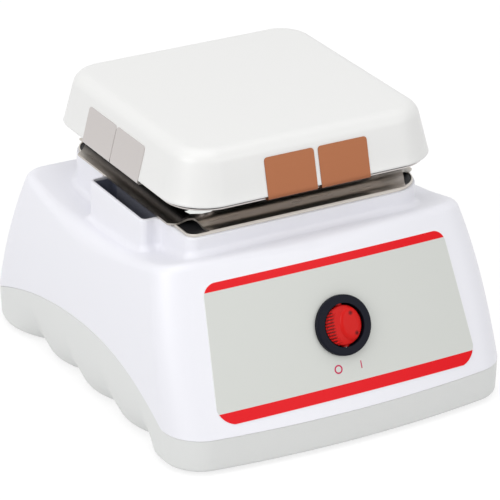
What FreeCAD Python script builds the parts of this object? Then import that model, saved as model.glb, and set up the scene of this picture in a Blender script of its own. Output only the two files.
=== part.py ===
# Laboratory hot plate: a square ceramic-coated plate on posts above a sloped plastic housing,
# with two heat shields under the plate, a round lit rocker switch in front and a mains inlet behind.
# Millimetres. The origin is on the table, under the middle of the housing, +Y is the back, +Z is up.
import FreeCAD
import Part
import Sketcher
import math
import os
import re

V = FreeCAD.Vector
X_AXIS, Y_AXIS, Z_AXIS = V(1, 0, 0), V(0, 1, 0), V(0, 0, 1)

os.makedirs("parts", exist_ok=True)
doc = FreeCAD.newDocument("hot_plate")

# How the lofts are worked out: number of levels, how they crowd, and the powers of their curves
LOFT_STEPS, LOFT_DEGREE = 12, 3
SKIN_CROWDING, BASE_CROWDING = 1.4, 1.7
SHOULDER_POWER, BASE_TUCK, DRAFT_POWER = 1.9, 2.2, 1.5
SHOULDER_CORNER = 3.0
GRIP_FADE = 1.6
TRACE = 0.0001

# Driving dimensions: alias, value, what it is
SIZES = [
    ("body_width", 146.4, "housing, width at the split line"),
    ("body_depth", 176.6, "housing, depth at the split line, middle of the front to the back"),
    ("body_corner", 16.0, "housing, radius of the upright corners"),
    ("front_bow", 6.4, "how far the front bulges between its corners"),
    ("front_tilt", 23.2, "lean of the front, degrees from upright"),
    ("back_tilt", 24.2, "lean of the back, degrees from upright"),
    ("side_draw", 5.3, "how far each side draws in up to the shoulder"),
    ("side_power", 2.5, "how late the side draws in, as a power"),
    ("wall", 2.6, "housing and base, wall"),
    ("foot_proud", 1.5, "how far the feet stand below the base"),
    ("base_height", 13.4, "base, height at its corners"),
    ("wall_height", 54.6, "housing, from the split line up to the shoulder"),
    ("shoulder_rise", 8.6, "housing, from the shoulder up to the deck"),
    ("shoulder_run", 13.9, "housing, width of the rounded shoulder"),
    ("base_step", 0.2, "how far the base stands in from the housing"),
    ("base_draft", 0.4, "how far the base draws in down to its lower edge"),
    ("base_round", 1.2, "base, size of the rounded lower edge"),
    ("base_floor", 2.4, "base, thickness of its floor"),
    ("seam_gap", 0.2, "gap between the base and the housing"),
    ("arch_rise", 16.1, "split line, height of its arch on the sides"),
    ("arch_peak", -7.2, "split line, where the arch is highest, along Y"),
    ("arch_front", -66.7, "split line, front end of the arch"),
    ("arch_back", 75.8, "split line, back end of the arch"),
    ("grip_pitch", 31.1, "finger grips, distance from notch to notch"),
    ("grip_middle", 2.4, "finger grips, middle of the row along Y"),
    ("grip_depth", 7.0, "finger grips, depth of a notch at the lower edge"),
    ("grip_bulge", 5.2, "finger grips, how far a lobe swells between two notches"),
    ("top_y", 1.3, "middle of the plate and of its deck along Y"),
    ("pedestal_side", 106.0, "raised part of the deck, side"),
    ("pedestal_corner", 4.0, "raised part of the deck, corner radius"),
    ("pedestal_rise", 4.4, "raised part of the deck, height over the shoulder"),
    ("vent_reach", 60.2, "vent boxes, outer face from the middle plane"),
    ("vent_front", -27.7, "vent boxes, front face"),
    ("vent_back", 17.4, "vent boxes, back face"),
    ("vent_wall", 1.3, "vent boxes, wall"),
    ("vent_depth", 11.0, "vent boxes, depth of the trench"),
    ("vent_round", 2.2, "vent boxes, rounding of their upright edges"),
    ("tray_side", 105.2, "lower heat shield, side"),
    ("tray_sheet", 0.6, "lower heat shield, sheet"),
    ("spacer_height", 2.6, "spacers between the two heat shields"),
    ("shield_sheet", 0.8, "upper heat shield, sheet"),
    ("shield_width", 108.0, "upper heat shield over its lips, along X"),
    ("shield_depth", 103.4, "upper heat shield over its lips, along Y"),
    ("flange_run", 8.0, "upper heat shield, run of a flange"),
    ("flange_drop", 2.6, "upper heat shield, drop of a flange"),
    ("side_flange", 76.0, "upper heat shield, length of the lip at each side"),
    ("front_flange", 86.0, "upper heat shield, length of the lip in front"),
    ("back_flange", 93.0, "upper heat shield, length of the lip behind"),
    ("clip_length", 11.2, "corner clips, length of the web"),
    ("clip_foot", 6.0, "corner clips, width of the two flanges"),
    ("clip_turn", 24.0, "corner clips, turn of the web in degrees"),
    ("clip_spread_x", 43.9, "corner clips, distance from the plate's middle along X"),
    ("clip_spread_y", 45.5, "corner clips, distance from the plate's middle along Y"),
    ("clip_peg", 1.5, "corner clips, radius of the peg at the end"),
    ("post_height", 7.0, "posts between the upper shield and the plate's pan"),
    ("post_radius", 3.5, "posts, outer radius"),
    ("post_spread", 37.0, "posts, distance from the middle along X and Y"),
    ("post_screw", 2.0, "post screws, shank radius"),
    ("screw_clearance", 0.15, "radial clearance of a hole round its screw"),
    ("pan_sheet", 0.6, "plate pan, sheet"),
    ("pan_gap", 1.0, "plate pan, drop of its panel under the plate's edge"),
    ("pan_inset", 2.0, "plate pan, how far its panel stands in from the plate's edge"),
    ("tab_bend", 0.8, "plate pan, inner radius of a tab's bend"),
    ("tab_corner", 1.5, "plate pan, radius of a tab's upper corners"),
    ("tab_width", 20.7, "plate pan, width of a folded tab"),
    ("tab_gap", 2.7, "plate pan, gap between the two tabs of a side"),
    ("tab_height", 15.4, "plate pan, height of a tab along the plate's side"),
    ("tab_recess", 0.4, "depth of the recess that a tab lies in"),
    ("tab_clearance", 0.15, "clearance round a tab in its recess"),
    ("plate_side", 115.0, "hot plate, side at the lower edge"),
    ("plate_corner", 18.5, "hot plate, corner radius at the lower edge"),
    ("plate_height", 20.8, "hot plate, height"),
    ("plate_draft", 14.5, "hot plate, lean of its sides in degrees"),
    ("plate_round", 8.0, "hot plate, rounding of the top edge"),
    ("plate_wall", 8.5, "hot plate, side wall at the lower edge"),
    ("plate_top", 7.8, "hot plate, thickness over the cavity"),
    ("boss_radius", 5.0, "hot plate, bosses for the post screws"),
    ("fit_gap", 0.3, "gap between loose inner pieces"),
    ("mica_sheet", 0.6, "mica sheets, thickness"),
    ("ribbon_sheet", 0.5, "heating ribbon, thickness"),
    ("ribbon_width", 3.0, "heating ribbon, width"),
    ("ribbon_pitch", 7.0, "heating ribbon, distance from run to run"),
    ("ribbon_length", 56.0, "heating ribbon, length of a run"),
    ("press_side", 92.0, "heating stack, side"),
    ("press_corner", 10.0, "heating stack, corner radius"),
    ("press_sheet", 1.6, "pressure plate, thickness"),
    ("press_screw", 1.5, "pressure screws, shank radius"),
    ("press_spread", 42.0, "pressure screws, distance from the middle"),
    ("press_bite", 4.0, "pressure screws, depth in the plate"),
    ("cutout_x", 22.0, "thermal cut-out, distance from the middle along X"),
    ("cutout_radius", 8.0, "thermal cut-out, radius of its can"),
    ("cutout_height", 6.5, "thermal cut-out, height of its can"),
    ("switch_rise", 30.2, "switch centre, height over the split line"),
    ("bezel_radius", 11.7, "switch bezel, outer radius"),
    ("bezel_height", 2.2, "switch bezel, thickness"),
    ("barrel_radius", 9.9, "switch barrel, outer radius"),
    ("barrel_depth", 19.0, "switch barrel, depth behind the bezel"),
    ("rocker_bore", 8.5, "switch barrel, inner radius"),
    ("rocker_gap", 0.3, "gap between the rocker and the barrel"),
    ("rocker_angle", 10.0, "rocker, swing to each side in degrees"),
    ("rocker_valley", 1.2, "rocker, height of the middle of its face over the panel"),
    ("rocker_pivot", 0.6, "rocker, depth of its pivot below the panel"),
    ("rocker_stem", 5.0, "rocker, depth of the stem below its pivot"),
    ("pivot_radius", 1.0, "pivot pin, radius"),
    ("pivot_clearance", 0.05, "radial clearance of the rocker on its pin"),
    ("label_half_top", 52.8, "front label, half its width at the top"),
    ("label_half_foot", 57.5, "front label, half its width at the bottom"),
    ("label_up", 26.9, "front label, from the switch centre up to its top edge"),
    ("label_down", 27.2, "front label, from the switch centre down to its bottom edge"),
    ("label_corner", 8.5, "front label, radius of the lower corners"),
    ("label_top_corner", 4.8, "front label, radius of the upper corners"),
    ("label_proud", 0.2, "front label, how far it stands out of the housing"),
    ("label_recess", 0.4, "front label, depth of its recess"),
    ("label_clearance", 0.2, "front label, clearance round its edge"),
    ("inlet_rise", 24.0, "mains inlet, centre over the split line"),
    ("inlet_width", 50.0, "mains inlet, flange width"),
    ("inlet_height", 24.0, "mains inlet, flange height"),
    ("inlet_spread", 20.0, "mains inlet, screws from its middle"),
    ("inlet_flange", 2.6, "mains inlet, flange thickness"),
    ("inlet_cup_width", 30.4, "mains inlet, width of its cup"),
    ("inlet_cup_height", 22.0, "mains inlet, height of its cup"),
    ("inlet_wall", 3.0, "mains inlet, wall of its cup"),
    ("inlet_depth", 17.0, "mains inlet, depth of its socket"),
    ("inlet_corner", 2.0, "mains inlet, corner radius of the flange"),
    ("inlet_recess", 0.6, "mains inlet, depth of the recess that its flange lies in"),
    ("inlet_pin_spread", 7.0, "mains inlet, outer pins from the middle"),
    ("inlet_pin_width", 2.0, "mains inlet, pin width"),
    ("inlet_pin_height", 4.0, "mains inlet, pin height"),
    ("inlet_pin_offset", 2.0, "mains inlet, earth pin above and outer pins below the middle"),
    ("inlet_pin_back", 3.0, "mains inlet, how far the pins stay inside its mouth"),
    ("inlet_tail", 7.0, "mains inlet, how far the pins reach out behind"),
    ("inlet_screw", 1.5, "mains inlet, screw shank radius"),
    ("inlet_nut", 3.1, "mains inlet, nut radius over its corners"),
    ("nut_height", 2.4, "nuts, height"),
    ("boss_spread_x", 55.0, "housing screws, distance from the middle along X"),
    ("boss_spread_y", 50.0, "housing screws, distance from the middle along Y"),
    ("boss_outer", 4.5, "housing screw pillars, radius"),
    ("body_screw", 1.5, "housing screws, shank radius"),
    ("screw_bite", 9.0, "depth of the housing screws and post screws in their pillars"),
    ("screw_seat", 3.0, "housing screws, height of their seat over the base's floor"),
    ("screw_end", 1.0, "room between a screw's end and the end of its hole"),
    ("thread_gap", 0.05, "radial gap of a screw in the hole that it grips"),
    ("foot_radius", 7.0, "feet, radius"),
    ("foot_plug", 3.0, "feet, radius of the plug"),
    ("foot_spread_x", 52.0, "feet, distance from the middle along X"),
    ("foot_spread_y", 66.0, "feet, distance from the middle along Y"),
    ("lead_hole", 6.0, "hole for the element leads, radius"),
    ("sleeve_wall", 1.4, "lead sleeve, wall"),
    ("sleeve_flange", 1.5, "lead sleeve, height of its flange"),
    ("block_length", 44.0, "terminal block, length"),
    ("block_width", 18.0, "terminal block, width"),
    ("block_height", 12.0, "terminal block, height"),
    ("block_y", 20.0, "terminal block, distance behind the middle"),
    ("block_lift", 5.0, "terminal block, height of its bosses over the floor"),
    ("block_spread", 18.0, "terminal block, its screws from its middle"),
    ("block_pitch", 9.0, "terminal block, distance between two clamps"),
    ("block_screw", 1.5, "terminal block, screw shank radius"),
    ("stud_radius", 2.0, "earth stud, radius"),
    ("stud_x", 26.0, "earth stud, distance from the plate's middle along X"),
    ("stud_y", 34.0, "earth stud, distance from the plate's middle along Y"),
    ("stud_length", 12.0, "earth stud, length under the deck's ceiling"),
    ("blade_sheet", 0.8, "switch terminals, thickness"),
    ("blade_width", 4.8, "switch terminals, width"),
    ("blade_length", 7.0, "switch terminals, length behind the barrel"),
    ("blade_pitch", 5.0, "switch terminals, distance from one to the next"),
    ("barrel_floor", 2.0, "switch barrel, thickness of its floor"),
    ("bezel_round", 0.8, "switch bezel, rounding of its outer edge"),
    ("bezel_lift", 0.05, "switch bezel, gap over the front label"),
    ("lamp_radius", 2.0, "switch lamp, radius"),
    ("lamp_height", 7.0, "switch lamp, height"),
    ("lead_radius", 1.2, "inner leads, radius"),
    ("lead_bend", 7.0, "inner leads, bend radius of the middle line"),
]


# Levels and half sizes that follow from the driving dimensions, as formulas in the same sheet
DERIVED = [
    ("split_z", "foot_proud + base_height", "split line at the corners"),
    ("shoulder_z", "split_z + wall_height", "shoulder of the housing"),
    ("deck_z", "shoulder_z + shoulder_rise", "deck of the housing"),
    ("pedestal_z", "deck_z + pedestal_rise", "top of the raised part"),
    ("tray_z", "pedestal_z + tray_sheet", "top of the lower shield"),
    ("spacer_z", "tray_z + spacer_height", "underside of the upper shield"),
    ("shield_z", "spacer_z + shield_sheet", "top of the upper shield"),
    ("pan_z", "shield_z + post_height", "underside of the plate's pan"),
    ("plate_z", "pan_z + pan_sheet + pan_gap", "lower edge of the plate"),
    ("cavity_z", "plate_z + plate_height - plate_top", "ceiling of the plate's cavity"),
    ("cavity_side", "plate_side - 2 * plate_wall", "side of the plate's cavity"),
    ("lower_mica_z", "cavity_z - 2 * mica_sheet - ribbon_sheet", "underside of the lower mica sheet"),
    ("press_z", "lower_mica_z - press_sheet", "underside of the pressure plate"),
    ("trench_z", "pedestal_z - vent_depth", "floor of the vent trenches"),
    ("switch_z", "split_z + switch_rise", "switch centre"),
    ("switch_y", "switch_rise * tan(front_tilt) - body_depth / 2", "switch centre"),
    ("inlet_z", "split_z + inlet_rise", "mains inlet centre"),
    ("inlet_y", "body_depth / 2 - inlet_rise * tan(back_tilt)", "mains inlet centre"),
    ("floor_z", "foot_proud + base_floor", "top of the base's floor"),
    ("seat_z", "floor_z + screw_seat", "seat of the housing screws' heads"),
    ("pillar_z", "split_z + seam_gap", "lower end of the screw pillars"),
    ("ceiling_z", "pedestal_z - wall", "underside of the raised part"),
    ("boss_z", "deck_z - wall", "seat of the post screws' heads"),
    ("pad_z", "pan_z + pan_sheet + fit_gap", "underside of the insulation pad"),
    ("block_z", "floor_z + block_lift", "underside of the terminal block"),
    ("rear_wall", "wall * (cos(back_tilt) + sin(back_tilt))", "thickness of the back wall along its normal"),
    ("socket_z", "0 - inlet_recess - inlet_depth", "floor of the inlet's socket, in the inlet's frame"),
]


def make_sheet():
    """Puts the driving dimensions into the spreadsheet as plain numbers, and then the formulas."""
    sheet = doc.addObject("Spreadsheet::Sheet", "sizes")
    rows = [(alias, str(value), meaning) for alias, value, meaning in SIZES]
    rows += [(alias, "=" + formula, meaning) for alias, formula, meaning in DERIVED]
    for row, (alias, text, meaning) in enumerate(rows, start=1):
        sheet.set(f"A{row}", meaning)
        sheet.set(f"B{row}", text)
        sheet.setAlias(f"B{row}", alias)
    doc.recompute()
    return sheet


SHEET = make_sheet()
ALIASES = {row[0] for row in SIZES + DERIVED}
PIECES = []


def size(alias):
    """A dimension, read back from the spreadsheet."""
    return float(SHEET.get(alias))


def bind(feature, **formulas):
    """Ties properties of a feature to formulas of the sheet's aliases; x, y and z are its place."""
    for name, formula in formulas.items():
        path = f"Placement.Base.{name}" if name in ("x", "y", "z") else name
        words = re.sub(r"[a-z_][a-z_0-9]*", lambda word: "sizes." + word[0] if word[0] in ALIASES else word[0],
                       str(formula))
        feature.setExpression(path, words)
    return feature


def cylinder(name, radius, height, x="0", y="0", z="0"):
    return bind(doc.addObject("Part::Cylinder", name), Radius=radius, Height=height, x=x, y=y, z=z)


def cone(name, lower, upper, height, x="0", y="0", z="0"):
    return bind(doc.addObject("Part::Cone", name), Radius1=lower, Radius2=upper, Height=height, x=x, y=y, z=z)


def block(name, length, width, height, x="0", y="0", z="0"):
    """A box centred on x and y, standing on z."""
    return bind(doc.addObject("Part::Box", name), Length=length, Width=width, Height=height,
                x=f"{x} - ({length}) / 2", y=f"{y} - ({width}) / 2", z=z)


def fuse(name, *shapes):
    feature = doc.addObject("Part::MultiFuse", name)
    feature.Shapes = list(shapes)
    return feature


def group(name, *shapes):
    """Separate solids kept together in one node."""
    feature = doc.addObject("Part::Compound", name)
    feature.Links = list(shapes)
    return feature


def cut(name, base, *tools):
    feature = doc.addObject("Part::Cut", name)
    feature.Base = base
    feature.Tool = tools[0] if len(tools) == 1 else fuse(name + "_tools", *tools)
    return feature


def solid(name, shape):
    """A feature whose shape comes from Part's own functions."""
    feature = doc.addObject("Part::Feature", name)
    feature.Shape = shape
    return feature


def piece(label, feature, place=None):
    """Names a finished piece. Its label is the name of its file."""
    if place:
        feature.Placement = place
    feature.Label = label
    PIECES.append(feature)
    return feature


def four(name, make, spread_x, spread_y, middle_y="top_y"):
    """The same feature at the four corners of a rectangle round the middle."""
    return [make(f"{name}_{word}", f"{sx} * ({spread_x})", f"{middle_y} + {sy} * ({spread_y})")
            for word, sx, sy in CORNERS]


CORNERS = [("front_left", -1, -1), ("front_right", 1, -1), ("back_right", 1, 1), ("back_left", -1, 1)]


def plane(body, role):
    return next(item for item in body.Origin.OriginFeatures if item.Role == role)


def rounded_sketch(body, name, width, depth, corner, z, y="top_y"):
    """A rectangle with round corners, bound to the sheet: four lines and four tangent arcs."""
    sketch = body.newObject("Sketcher::SketchObject", name)
    sketch.AttachmentSupport = [(plane(body, "XY_Plane"), "")]
    sketch.MapMode = "FlatFace"
    half, corner_guess = 40.0, 8.0
    inner = half - corner_guess
    lines = [(-inner, -half, inner, -half), (half, -inner, half, inner),
             (inner, half, -inner, half), (-half, inner, -half, -inner)]
    centres = [(inner, -inner), (inner, inner), (-inner, inner), (-inner, -inner)]
    for x0, y0, x1, y1 in lines:
        sketch.addGeometry(Part.LineSegment(V(x0, y0, 0), V(x1, y1, 0)), False)
    for index, (x0, y0) in enumerate(centres):
        start = math.radians(90 * index - 90)
        circle = Part.Circle(V(x0, y0, 0), Z_AXIS, corner_guess)
        sketch.addGeometry(Part.ArcOfCircle(circle, start, start + math.pi / 2), False)
    for index in range(4):
        arc, following = 4 + index, (index + 1) % 4
        sketch.addConstraint(Sketcher.Constraint("Tangent", index, 2, arc, 1))
        sketch.addConstraint(Sketcher.Constraint("Tangent", arc, 2, following, 1))
    for index in (0, 2):
        sketch.addConstraint(Sketcher.Constraint("Horizontal", index))
        sketch.addConstraint(Sketcher.Constraint("Vertical", index + 1))
    for arc in (5, 6, 7):
        sketch.addConstraint(Sketcher.Constraint("Equal", 4, arc))
    sketch.addConstraint(Sketcher.Constraint("Symmetric", 0, 1, 2, 1, -1, 1))
    radius = sketch.addConstraint(Sketcher.Constraint("Radius", 4, corner_guess))
    across = sketch.addConstraint(Sketcher.Constraint("DistanceX", 3, 1, 1, 1, 2 * half))
    along = sketch.addConstraint(Sketcher.Constraint("DistanceY", 0, 1, 2, 2, 2 * half))
    for number, formula in ((radius, corner), (across, width), (along, depth)):
        bind(sketch, **{f"Constraints[{number}]": formula})
    bind(sketch, **{"AttachmentOffset.Base.y": y, "AttachmentOffset.Base.z": z})
    return sketch


def rounded_plate(name, width, depth, corner, height, z, lean="0", y="top_y"):
    """A block with round corners and evenly leaning sides: one sketch and one pad."""
    body = doc.addObject("PartDesign::Body", name)
    pad = body.newObject("PartDesign::Pad", name + "_pad")
    pad.Profile = rounded_sketch(body, name + "_outline", width, depth, corner, z, y)
    bind(pad, Length=height, TaperAngle=lean)
    body.Tip = pad
    return body


def arc_edge(first, middle, last):
    return Part.Arc(first, middle, last).toShape()


def line_edge(first, last):
    return Part.LineSegment(first, last).toShape()


def about(centre, radius, degrees):
    """A point on a circle in a level plane."""
    angle = math.radians(degrees)
    return centre + V(radius * math.cos(angle), radius * math.sin(angle), 0)


def side_edges(side, front_y, back_y, z, grip):
    """One side of a level outline, from front to back: straight, or with the finger grips."""
    if not grip:
        return [line_edge(V(side, front_y, z), V(side, back_y, z))]
    pitch, middle = size("grip_pitch"), size("grip_middle")
    notches = [middle + (number - 1.5) * pitch for number in range(4)]
    inward = -math.copysign(1, side)
    depth, bulge = size("grip_depth") * grip, size("grip_bulge") * grip
    ends = [(front_y, 0)] + [(notch, depth) for notch in notches] + [(back_y, 0)]
    edges = []
    for (y0, in0), (y1, in1) in zip(ends, ends[1:]):
        swell = bulge * min(1, (y1 - y0) / pitch)
        middle_point = V(side + inward * ((in0 + in1) / 2 - swell), (y0 + y1) / 2, z)
        edges.append(arc_edge(V(side + inward * in0, y0, z), middle_point, V(side + inward * in1, y1, z)))
    return edges


def outline(z, half, front, back, corner, grip=0.0):
    """A level outline of the housing or base: a bowed front, two sides, a straight back, round corners.

    The bowed front is an arc through its middle and the two front corners. The corner arcs touch it
    and the sides, so their centres lie a radius inside both.
    """
    bow = size("front_bow")
    big = (half ** 2 + bow ** 2) / (2 * bow)
    hub = V(0, front + big, z)
    reach = half - corner
    centre_y = hub.y - math.sqrt((big - corner) ** 2 - reach ** 2)
    left, right = V(-reach, centre_y, z), V(reach, centre_y, z)
    left_front = hub + (left - hub) * (big / (big - corner))
    right_front = hub + (right - hub) * (big / (big - corner))
    turn = math.degrees(math.atan2(right_front.y - centre_y, right_front.x - reach))
    back_y = back - corner
    edges = [arc_edge(left_front, V(0, front, z), right_front),
             arc_edge(right_front, about(right, corner, turn / 2), V(half, centre_y, z))]
    edges += side_edges(half, centre_y, back_y, z, grip)
    edges += [arc_edge(V(half, back_y, z), about(V(reach, back_y, z), corner, 45), V(reach, back, z)),
              line_edge(V(reach, back, z), V(-reach, back, z)),
              arc_edge(V(-reach, back, z), about(V(-reach, back_y, z), corner, 135), V(-half, back_y, z))]
    edges += reversed(side_edges(-half, centre_y, back_y, z, grip))
    edges += [arc_edge(V(-half, centre_y, z), about(left, corner, 180 - turn / 2), left_front)]
    return Part.Wire(edges)


def skin_outline(z, inset=0.0):
    """The housing's outline at a level, or one set in by a wall.

    Up to the shoulder the front and back lean evenly and the sides draw in late. Above it they go on
    with the same lean and turn in over the rounded shoulder, as a power of the height.
    """
    up = z - size("split_z")
    height, rise, run = size("wall_height"), size("shoulder_rise"), size("shoulder_run")
    along = min(max(up / height, 0), 1)
    above = max(up - height, 0)
    turn = (above / rise) ** SHOULDER_POWER
    lean_front = math.tan(math.radians(size("front_tilt")))
    lean_back = math.tan(math.radians(size("back_tilt")))
    lean_side = size("side_draw") * size("side_power") / height
    half = size("body_width") / 2 - size("side_draw") * along ** size("side_power")
    half -= lean_side * above + (run - lean_side * rise) * turn
    front = up * lean_front - size("body_depth") / 2 + (run - lean_front * rise) * turn
    back = size("body_depth") / 2 - up * lean_back - (run - lean_back * rise) * turn
    corner = size("body_corner") - SHOULDER_CORNER * turn
    return outline(z, half - inset, front + inset, back - inset, corner - inset)


def skin(inset=0.0, lower=0.0):
    """The housing's outer form as one smooth loft, or the same form inside the wall.

    The levels crowd towards the deck, where the form turns most.
    """
    start = size("split_z") - size("wall")
    height = size("deck_z") - start
    rings = []
    for step in range(LOFT_STEPS + 1):
        ring = skin_outline(start + height * (1 - (1 - step / LOFT_STEPS) ** SKIN_CROWDING), inset)
        ring.translate(V(0, 0, -lower))
        rings.append(ring)
    return Part.makeLoft(rings, True, False, False, LOFT_DEGREE)


def split_profile(lift=0.0):
    """The region under the split line, as a prism across the whole width; its top is the arch."""
    split, rise = size("split_z") + lift, size("arch_rise")
    front, peak, back = size("arch_front"), size("arch_peak"), size("arch_back")
    reach, side = size("body_depth"), size("body_width")

    def half_arch(end):
        span, half_way = abs(end - peak), (end + peak) / 2
        radius = (span ** 2 + rise ** 2) / (2 * rise)
        drop = radius - math.sqrt(radius ** 2 - (half_way - peak) ** 2)
        return V(-side, half_way, split + rise - drop)

    corners = [V(-side, -reach, -reach), V(-side, -reach, split), V(-side, front, split),
               V(-side, peak, split + rise), V(-side, back, split), V(-side, reach, split),
               V(-side, reach, -reach)]
    edges = [line_edge(corners[0], corners[1]), line_edge(corners[1], corners[2]),
             arc_edge(corners[2], half_arch(front), corners[3]),
             arc_edge(corners[3], half_arch(back), corners[4]),
             line_edge(corners[4], corners[5]), line_edge(corners[5], corners[6]),
             line_edge(corners[6], corners[0])]
    return Part.Face(Part.Wire(edges)).extrude(V(2 * side, 0, 0))


def upright_edges(shape):
    """The edges of a prism that run along Z."""
    return [edge for edge in shape.Edges if abs(edge.Vertexes[0].Z - edge.Vertexes[1].Z) > TRACE]


def prism(width, depth, height, corner, z=0.0, middle_y=0.0):
    """A block with round upright edges, centred on X and on middle_y and standing on z."""
    shape = Part.makeBox(width, depth, height, V(-width / 2, middle_y - depth / 2, z))
    return shape.makeFillet(corner, upright_edges(shape)) if corner > 0 else shape


def vent_box(side, margin, z0, z1, inner):
    """A block at one side of the deck, from inside the raised part to the vent box's wall."""
    outer = size("vent_reach") - margin
    front, back = size("vent_front") + margin, size("vent_back") - margin
    return Part.makeBox(outer - inner, back - front, z1 - z0, V(min(side * inner, side * outer), front, z0))


def pillars(radius, z0, z1, spread_x="boss_spread_x", spread_y="boss_spread_y", middle_y=0.0):
    """Four upright cylinders round the middle."""
    return [Part.makeCylinder(radius, z1 - z0, V(sx * size(spread_x), middle_y + sy * size(spread_y), z0))
            for word, sx, sy in CORNERS]


def post_bores(radius, z0, z1):
    return pillars(radius, z0, z1, "post_spread", "post_spread", size("top_y"))


def centre_bore(radius, z0, z1):
    return Part.makeCylinder(radius, z1 - z0, V(0, size("top_y"), z0))


def panel_place(y, z, lean):
    """A frame on a sloped wall: its Z points out of the wall and its Y up along it."""
    angle, side = math.radians(lean), math.copysign(1, y)
    across = V(-side, 0, 0)
    up = V(0, -side * math.sin(angle), math.cos(angle))
    out = V(0, side * math.cos(angle), math.sin(angle))
    return FreeCAD.Placement(V(0, y, z), FreeCAD.Rotation(across, up, out, "ZXY"))


FRONT = panel_place(size("switch_y"), size("switch_z"), size("front_tilt"))
REAR = panel_place(size("inlet_y"), size("inlet_z"), size("back_tilt"))
FRONT_OUT = FRONT.Rotation.multVec(Z_AXIS)


def placed(shape, place):
    shape.Placement = place.multiply(shape.Placement)
    return shape


def moved(shape, direction, distance):
    copy = shape.copy()
    copy.translate(direction * distance)
    return copy


def label_prism(margin):
    """The front label's outline, wider at the bottom, as a prism along the panel's normal."""
    def row(block, half):
        return [edge for edge in upright_edges(block) if half * edge.Vertexes[0].Y > 0]

    top, foot = size("label_half_top") + margin, size("label_half_foot") + margin
    up, down = size("label_up") + margin, size("label_down") + margin
    depth = size("barrel_radius")
    corners = [V(-foot, -down, -depth), V(foot, -down, -depth), V(top, up, -depth), V(-top, up, -depth)]
    shape = Part.Face(Part.makePolygon(corners + corners[:1])).extrude(V(0, 0, 2 * depth))
    shape = shape.makeFillet(size("label_top_corner") + margin, row(shape, 1))
    return placed(shape.makeFillet(size("label_corner") + margin, row(shape, -1)), FRONT)


def barrel_hole(margin):
    depth = size("barrel_depth")
    return placed(Part.makeCylinder(size("barrel_radius") + margin, 2 * depth, V(0, 0, -depth)), FRONT)


def front_label(outer):
    """The printed film on the front: a slice of the housing's own skin, so that it lies in its curve."""
    seat = size("label_recess") - size("thread_gap")
    film = label_prism(0).common(moved(outer, FRONT_OUT, size("label_proud")))
    film = film.cut([moved(outer, FRONT_OUT, -seat), barrel_hole(size("screw_clearance"))])
    piece("front_label", solid("front_label", max(film.Solids, key=lambda item: item.Volume)))


def inlet_block(width, height, inner, outer, corner):
    """A block with round edges on the rear wall, between two depths of the inlet's own frame."""
    return placed(prism(width, height, outer - inner, corner, inner), REAR)


def housing(outer):
    """The white upper shell: skin, raised deck with two open vent boxes, pillars and cut-outs."""
    wall, deck, top, boss = size("wall"), size("deck_z"), size("pedestal_z"), size("boss_z")
    side, corner, middle = size("pedestal_side"), size("pedestal_corner"), size("top_y")
    foot, floor, clearance = size("shoulder_z"), size("trench_z"), size("screw_clearance")
    raised = prism(side, side, top - foot, corner, foot, middle)
    inner_vent = side / 2 - 2 * wall
    boxes = [vent_box(sign, 0, foot, top, inner_vent) for sign in (-1, 1)]
    boxes = [box.makeFillet(size("vent_round"), upright_edges(box)) for box in boxes]
    body = outer.fuse([raised] + boxes).removeSplitter()
    hollow = prism(side - 2 * wall, side - 2 * wall, size("ceiling_z") - boss + wall, corner - wall, boss - wall,
                   middle)
    shell = body.cut([skin(wall, wall), hollow])
    casings = [vent_box(sign, 0, floor - wall, top, inner_vent - wall).common(body) for sign in (-1, 1)]
    bosses = post_bores(size("post_radius") + wall, boss, size("ceiling_z"))
    shell = shell.fuse(casings + bosses)
    vent_wall = size("vent_wall")
    shell = shell.cut([vent_box(sign, vent_wall, floor, top + wall, inner_vent + vent_wall) for sign in (-1, 1)])
    shell = shell.cut(split_profile(size("seam_gap")))
    shell = shell.fuse([post.common(body) for post in pillars(size("boss_outer"), size("pillar_z"), deck)])
    label_seat = label_prism(size("label_clearance")).cut(moved(outer, FRONT_OUT, -size("label_recess")))
    gap = size("fit_gap")
    recess = inlet_block(size("inlet_width") + 2 * gap, size("inlet_height") + 2 * gap, -size("inlet_recess"),
                         size("inlet_depth"), size("inlet_corner") + gap)
    cup = inlet_block(size("inlet_cup_width") + 2 * gap, size("inlet_cup_height") + 2 * gap,
                      -size("inlet_depth"), size("inlet_depth"), size("inlet_corner"))
    screw_holes = [placed(Part.makeCylinder(size("inlet_screw") + clearance, 2 * size("inlet_depth"),
                   V(sign * size("inlet_spread"), 0, -size("inlet_depth"))), REAR) for sign in (-1, 1)]
    tools = [label_seat, barrel_hole(clearance), recess, cup] + screw_holes
    tools += pillars(size("body_screw") + size("thread_gap"), 0, size("split_z") + size("screw_bite"))
    tools += post_bores(size("post_screw") + clearance, floor, top + wall)
    tools += [centre_bore(size("lead_hole"), floor, top + wall)]
    tools += [Part.makeCylinder(size("stud_radius") + clearance, top, V(size("stud_x"), middle + size("stud_y"), 0))]
    shell = shell.cut(tools)
    piece("housing", solid("housing", max(shell.Solids, key=lambda item: item.Volume)))


def base_form(inset=0.0, lift=0.0):
    """The base's outer form: draws in downwards, with the grips at full depth at the lower edge.

    The levels crowd towards the rounded lower edge. The grips fade out at the top of the arch.
    """
    bottom, height = size("foot_proud"), size("base_height")
    peak = height + size("arch_rise") + size("wall")
    rounding, draft = size("base_round"), size("base_draft")
    rings = []
    for step in range(LOFT_STEPS + 1):
        up = peak * (step / LOFT_STEPS) ** BASE_CROWDING
        tuck = rounding * max(0, 1 - up / rounding) ** BASE_TUCK
        set_in = size("base_step") + draft * max(0, 1 - up / height) ** DRAFT_POWER + tuck + inset
        half = size("body_width") / 2 - set_in
        front, back = set_in - size("body_depth") / 2, size("body_depth") / 2 - set_in
        rings.append(outline(bottom + up + lift, half, front, back, size("body_corner") - set_in,
                             (1 - up / peak) ** GRIP_FADE + TRACE))
    return Part.makeLoft(rings, True, False, False, LOFT_DEGREE)


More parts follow.
